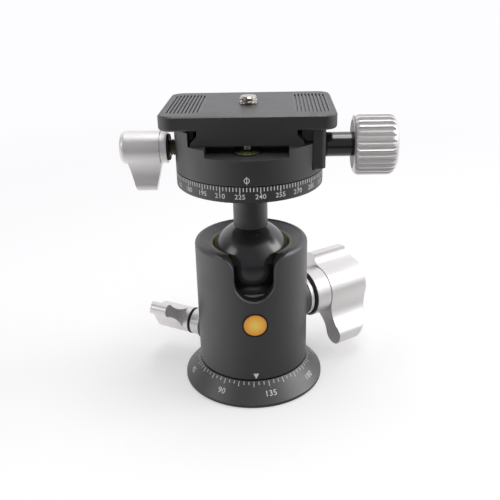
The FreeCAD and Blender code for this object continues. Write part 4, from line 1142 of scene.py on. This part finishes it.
@dataclass
class ClampKnob:
    """Fluted knob, its sleeve and the clamp screw."""

    height: float = 94.0

    def build(self) -> None:
        """Dress the knob's pieces."""
        dress(satin("clamp_knob_silver", 0.0, self.height, Grain.DRAWN), "clamp_knob")
        dress(SLEEVE_BLACK, "clamp_sleeve")
        dress(BLACK_TURNED, "clamp_knob_insert")
        dress(BLACK_PLASTIC, "clamp_washer")
        dress(STEEL, "clamp_screw")


@dataclass
class RingLock:
    """Small lever knob that locks the graduated ring, on a threaded stud."""

    azimuth: float = 180.0
    height: float = 93.7
    radius: float = 3.0
    inner_end: float = 11.95
    outer_end: float = 37.6
    pitch: float = 0.8
    thread_depth: float = 0.45
    thread_start: float = 24.0
    thread_end: float = 30.5

    def build(self) -> None:
        """Dress the lever and make its stud with a real thread."""
        dress(satin("lever_silver", self.azimuth, self.height, Grain.DRAWN), "ring_lock_knob")
        dress(satin("lever_collar_silver", self.azimuth, self.height, Grain.TURNED), "ring_lock_collar")
        dress(RUBBER, "ring_lock_washer")
        dress(NYLON, "ring_lock_pad")
        thread = Thread(self.pitch, self.thread_depth, self.thread_start, self.thread_end)
        outline = [(0, self.inner_end), (self.radius, self.inner_end), (self.radius, self.outer_end),
                   (0, self.outer_end)]
        stand = outward_stand(self.azimuth, self.height)
        mesh = turned_mesh("ring_lock_stud", outline, stand, thread=thread, segments=64)
        show("ring_lock_stud", mesh, "ring_lock_pin", BRONZED_STEEL, replaces=["ring_lock_pin"])


@dataclass
class Plate:
    """Quick-release plate with its ribbed pads and camera screw."""

    centre: float = 4.9
    top: float = 108.1
    head_radius: float = 6.2
    head_low: float = 98.5
    head_top: float = 101.0
    neck_radius: float = 2.6
    stud_radius: float = 3.175
    stud_top: float = 110.7
    stud_lift: float = 0.1
    stud_chamfer: float = 0.5
    head_edge: float = 0.2
    slot_half: float = 0.7
    slot_deep: float = 1.1
    pitch: float = 1.27
    thread_depth: float = 0.62
    thread_short: float = 0.1
    stop_at: float = -15.32
    stop_radius: float = 1.55
    stop_low: float = 96.5
    stop_seat: float = 98.05
    stop_round: float = 0.45
    stop_corners: int = 6
    stop_grip: float = 1.0
    socket_radius: float = 0.75
    socket_deep: float = 0.8

    def build(self) -> None:
        """Dress the plate and make its screws."""
        dress(BLACK_ANODISED, "quick_release_plate")
        dress(PAD_RUBBER, "grip_pad_left", "grip_pad_right")
        self.make_camera_screw()
        self.make_stop_screw()

    def make_stop_screw(self) -> None:
        """Make the small screw under the dovetail that keeps the plate from sliding out."""
        turns = [math.pi / 2 * step / self.stop_corners for step in range(self.stop_corners + 1)]
        rim = [(self.stop_radius - self.stop_round * (1 - math.sin(turn)),
                self.stop_low + self.stop_round * (1 - math.cos(turn))) for turn in turns]
        socket_floor = self.stop_low + self.socket_deep
        grip_top = self.stop_seat + self.stop_grip
        outline = [(0, socket_floor), (self.socket_radius, socket_floor), (self.socket_radius, self.stop_low),
                   *rim, (self.stop_radius, self.stop_seat), (self.stop_radius / 2, self.stop_seat),
                   (self.stop_radius / 2, grip_top), (0, grip_top)]
        stand = Matrix.Translation((0, self.stop_at * MM, 0))
        mesh = turned_mesh("plate_stop_screw", outline, stand, segments=48)
        show("plate_stop_screw", mesh, "plate", STEEL)

    def make_camera_screw(self) -> None:
        """Make the camera screw with a real thread and a coin slot."""
        neck_top = self.top + self.stud_lift
        outline = [(0, self.head_low), (self.head_radius - self.head_edge, self.head_low),
                   (self.head_radius, self.head_low + self.head_edge), (self.head_radius, self.head_top),
                   (self.neck_radius, self.head_top), (self.neck_radius, neck_top),
                   (self.stud_radius, neck_top), (self.stud_radius, self.stud_top - self.stud_chamfer),
                   (self.stud_radius - self.stud_chamfer, self.stud_top), (0, self.stud_top)]
        thread_end = self.stud_top - self.thread_short
        thread = Thread(self.pitch, self.thread_depth, neck_top, thread_end, run_out=0.35)
        stand = Matrix.Translation((0, self.centre * MM, 0))
        mesh = turned_mesh("camera_screw_threaded", outline, stand, thread=thread)
        reach = self.head_radius + 1
        mesh = cut_away(mesh, Vector((-self.slot_half, self.centre - reach, self.head_low - 1)),
                        Vector((self.slot_half, self.centre + reach, self.head_low + self.slot_deep)))
        show("camera_screw_threaded", mesh, "camera_screw", STUD_STEEL, replaces=["camera_screw"])


# ---------------------------------------------------------------- studio

@dataclass(frozen=True)
class Lamp:
    """A soft lamp that points at the head. Lengths are metres."""

    name: str
    place: tuple[float, float, float]
    size: tuple[float, float]
    power: float

    def hang(self, aim: Vector) -> None:
        """Put the lamp in the scene.

        Args:
            aim: What it points at.
        """
        data = bpy.data.lights.new(self.name, "AREA")
        data.shape = "RECTANGLE"
        data.size, data.size_y = self.size
        data.energy = self.power
        lamp = bpy.data.objects.new(self.name, data)
        lamp.location = self.place
        lamp.rotation_euler = (aim - Vector(self.place)).to_track_quat("-Z", "Y").to_euler()
        bpy.context.scene.collection.objects.link(lamp)


def kinds_of_ray(graph: Graph) -> tuple[Socket, Socket]:
    """Tell rays apart.

    Args:
        graph: Graph that gets the node.

    Returns:
        Whether a ray comes from the camera, and whether it comes by way of metal or glass.
    """
    seen = graph.add("LightPath")
    mirrored = graph.math("MAXIMUM", seen.outputs["Is Glossy Ray"], seen.outputs["Is Transmission Ray"])
    return seen.outputs["Is Camera Ray"], mirrored


@dataclass
class Studio:
    """Pale sweep, soft lamps and the camera.

    Metal and glass show the sweep and the room too, darker on the side that the camera looks from:
    the sweep by how far a place lies in the direction dim_floor and from the middle, the room by
    the direction dim_room. Distances on the sweep are metres.
    """

    eye: tuple[float, float, float] = (8.99, -238.03, 154.98)
    yaw: float = 2.277
    dip: float = 23.152
    roll: float = 1.292
    lens: float = 48.82
    sensor: float = 36.0
    nearest: float = 0.01
    floor_half: float = 3.0
    floor_low: float = -0.00002
    dim_floor: tuple[float, float, float] = (0.34, -0.94, 0.0)
    dim_from: float = -0.35
    dim_to: float = 0.9
    dim_most: float = 0.84
    dim_near: float = 0.1
    dim_far: float = 0.26
    dim_near_share: float = 0.84
    dim_far_share: float = 1.1
    fade_near: float = 0.16
    fade_far: float = 0.55
    lift: float = 0.3
    dim_room: tuple[float, float, float] = (-0.55, -0.835, 0.0)
    room_from: float = -0.3
    room_to: float = 0.5
    soft: float = 0.5
    white: Color = (0.985, 0.98, 1.0)
    aim: tuple[float, float, float] = (0.0, 0.0, 0.06)
    lamps: tuple[Lamp, ...] = (
        Lamp("lamp_over", (0.05, 0.0, 0.75), (0.5, 0.3), 1.6),
        Lamp("lamp_left", (-0.75, -0.35, 0.45), (0.4, 0.4), 0.9),
        Lamp("lamp_right", (0.75, 0.05, 0.45), (0.5, 0.45), 2.0))

    def build(self) -> None:
        """Set up everything that isn't part of the head."""
        self.set_camera()
        self.lay_floor()
        self.light_world()
        for lamp in self.lamps:
            lamp.hang(Vector(self.aim))

    def set_camera(self) -> None:
        """Point the camera."""
        yaw, dip, roll = (math.radians(angle) for angle in (self.yaw, self.dip, self.roll))
        ahead = Vector((-math.sin(yaw) * math.cos(dip), math.cos(yaw) * math.cos(dip), -math.sin(dip)))
        right = Vector((math.cos(yaw), math.sin(yaw), 0.0))
        up = right.cross(ahead)
        rolled_right = right * math.cos(roll) - up * math.sin(roll)
        rolled_up = up * math.cos(roll) + right * math.sin(roll)
        data = bpy.data.cameras.new("camera")
        data.lens = self.lens
        data.sensor_width = self.sensor
        data.clip_start = self.nearest
        camera = bpy.data.objects.new("camera", data)
        camera.matrix_world = Matrix.Translation(Vector(self.eye) * MM) @ Matrix(
            (rolled_right, rolled_up, -ahead)).transposed().to_4x4()
        bpy.context.scene.collection.objects.link(camera)
        bpy.context.scene.camera = camera

    def lay_floor(self) -> None:
        """Lay the pale floor, which turns into plain white away from the head."""
        half = self.floor_half
        corners = [Vector((x, y, self.floor_low))
                   for x, y in ((-half, -half), (half, -half), (half, half), (-half, half))]
        mesh = mesh_from("floor", corners, [[0, 1, 2, 3]])
        floor = bpy.data.objects.new("floor", mesh)
        bpy.context.scene.collection.objects.link(floor)
        material, graph = empty_material("pale_floor")
        place = graph.add("TexCoord").outputs["Object"]
        away = graph.vector("LENGTH", place).outputs[1]
        camera, mirrored = kinds_of_ray(graph)
        way = graph.vector("NORMALIZE", place).outputs[0]
        towards = graph.vector("DOT_PRODUCT", way, self.dim_floor).outputs[1]
        aside = graph.spread(towards, self.dim_from, self.dim_to, 0.0, self.dim_most, smooth=False)
        share = graph.spread(away, self.dim_near, self.dim_far, self.dim_near_share, self.dim_far_share)
        dimmed = graph.math("MULTIPLY", mirrored, graph.math("MULTIPLY", aside, share))
        direct = graph.math("MAXIMUM", camera, mirrored)
        paper = graph.add("BsdfDiffuse", {"Color": (0.8, 0.797, 0.806)})
        lifted = graph.math("MULTIPLY", direct, self.lift)
        lift = graph.add("Emission", {"Color": (1.0, 0.995, 1.0), "Strength": lifted})
        near = graph.add("AddShader", {0: paper.outputs[0], 1: lift.outputs[0]})
        white = graph.add("Emission", {"Color": self.white})
        dark = graph.add("Emission", {"Strength": 0.0})
        fade = graph.spread(away, self.fade_near, self.fade_far)
        mixed = graph.add("MixShader", {0: graph.math("MULTIPLY", fade, direct), 1: near.outputs[0],
                                        2: white.outputs[0]})
        shown = graph.add("MixShader", {0: dimmed, 1: mixed.outputs[0], 2: dark.outputs[0]})
        graph.add("OutputMaterial", {"Surface": shown.outputs[0]})
        mesh.materials.append(material)

    def light_world(self) -> None:
        """Light from all round, white to the camera and darker in reflections of what is behind it."""
        world = bpy.data.worlds.new("studio")
        bpy.context.scene.world = world
        world.use_nodes = True
        graph = Graph(world.node_tree)
        graph.tree.nodes.clear()
        way = graph.add("TexCoord").outputs["Generated"]
        towards = graph.vector("DOT_PRODUCT", way, self.dim_room).outputs[1]
        behind = graph.spread(towards, self.room_from, self.room_to)
        room = graph.add("Background", {
            "Color": graph.blend(behind, (0.98, 0.97, 1.0), (0.22, 0.22, 0.23)), "Strength": 1.0})
        soft = graph.add("Background", {"Color": (1.0, 0.99, 1.0), "Strength": self.soft})
        white = graph.add("Background", {"Color": self.white, "Strength": 1.0})
        camera, mirrored = kinds_of_ray(graph)
        base = graph.add("MixShader", {0: mirrored, 1: soft.outputs[0], 2: room.outputs[0]})
        full = graph.add("MixShader", {0: camera, 1: base.outputs[0], 2: white.outputs[0]})
        graph.add("OutputWorld", {"Surface": full.outputs[0]})


def main() -> None:
    """Build the studio and then the head from its foot up."""
    logging.basicConfig(level=logging.INFO, format="%(name)s: %(message)s")
    bpy.context.scene.view_settings.view_transform = "Standard"
    Studio().build()
    for part in (Base(), Housing(), BallClamp(), LockKnobs(), BallAndStem(), Clamp(), ClampKnob(), RingLock(),
                 Plate()):
        part.build()
        log.info("finished %s", type(part).__name__)


if __name__ == "__main__":
    main()
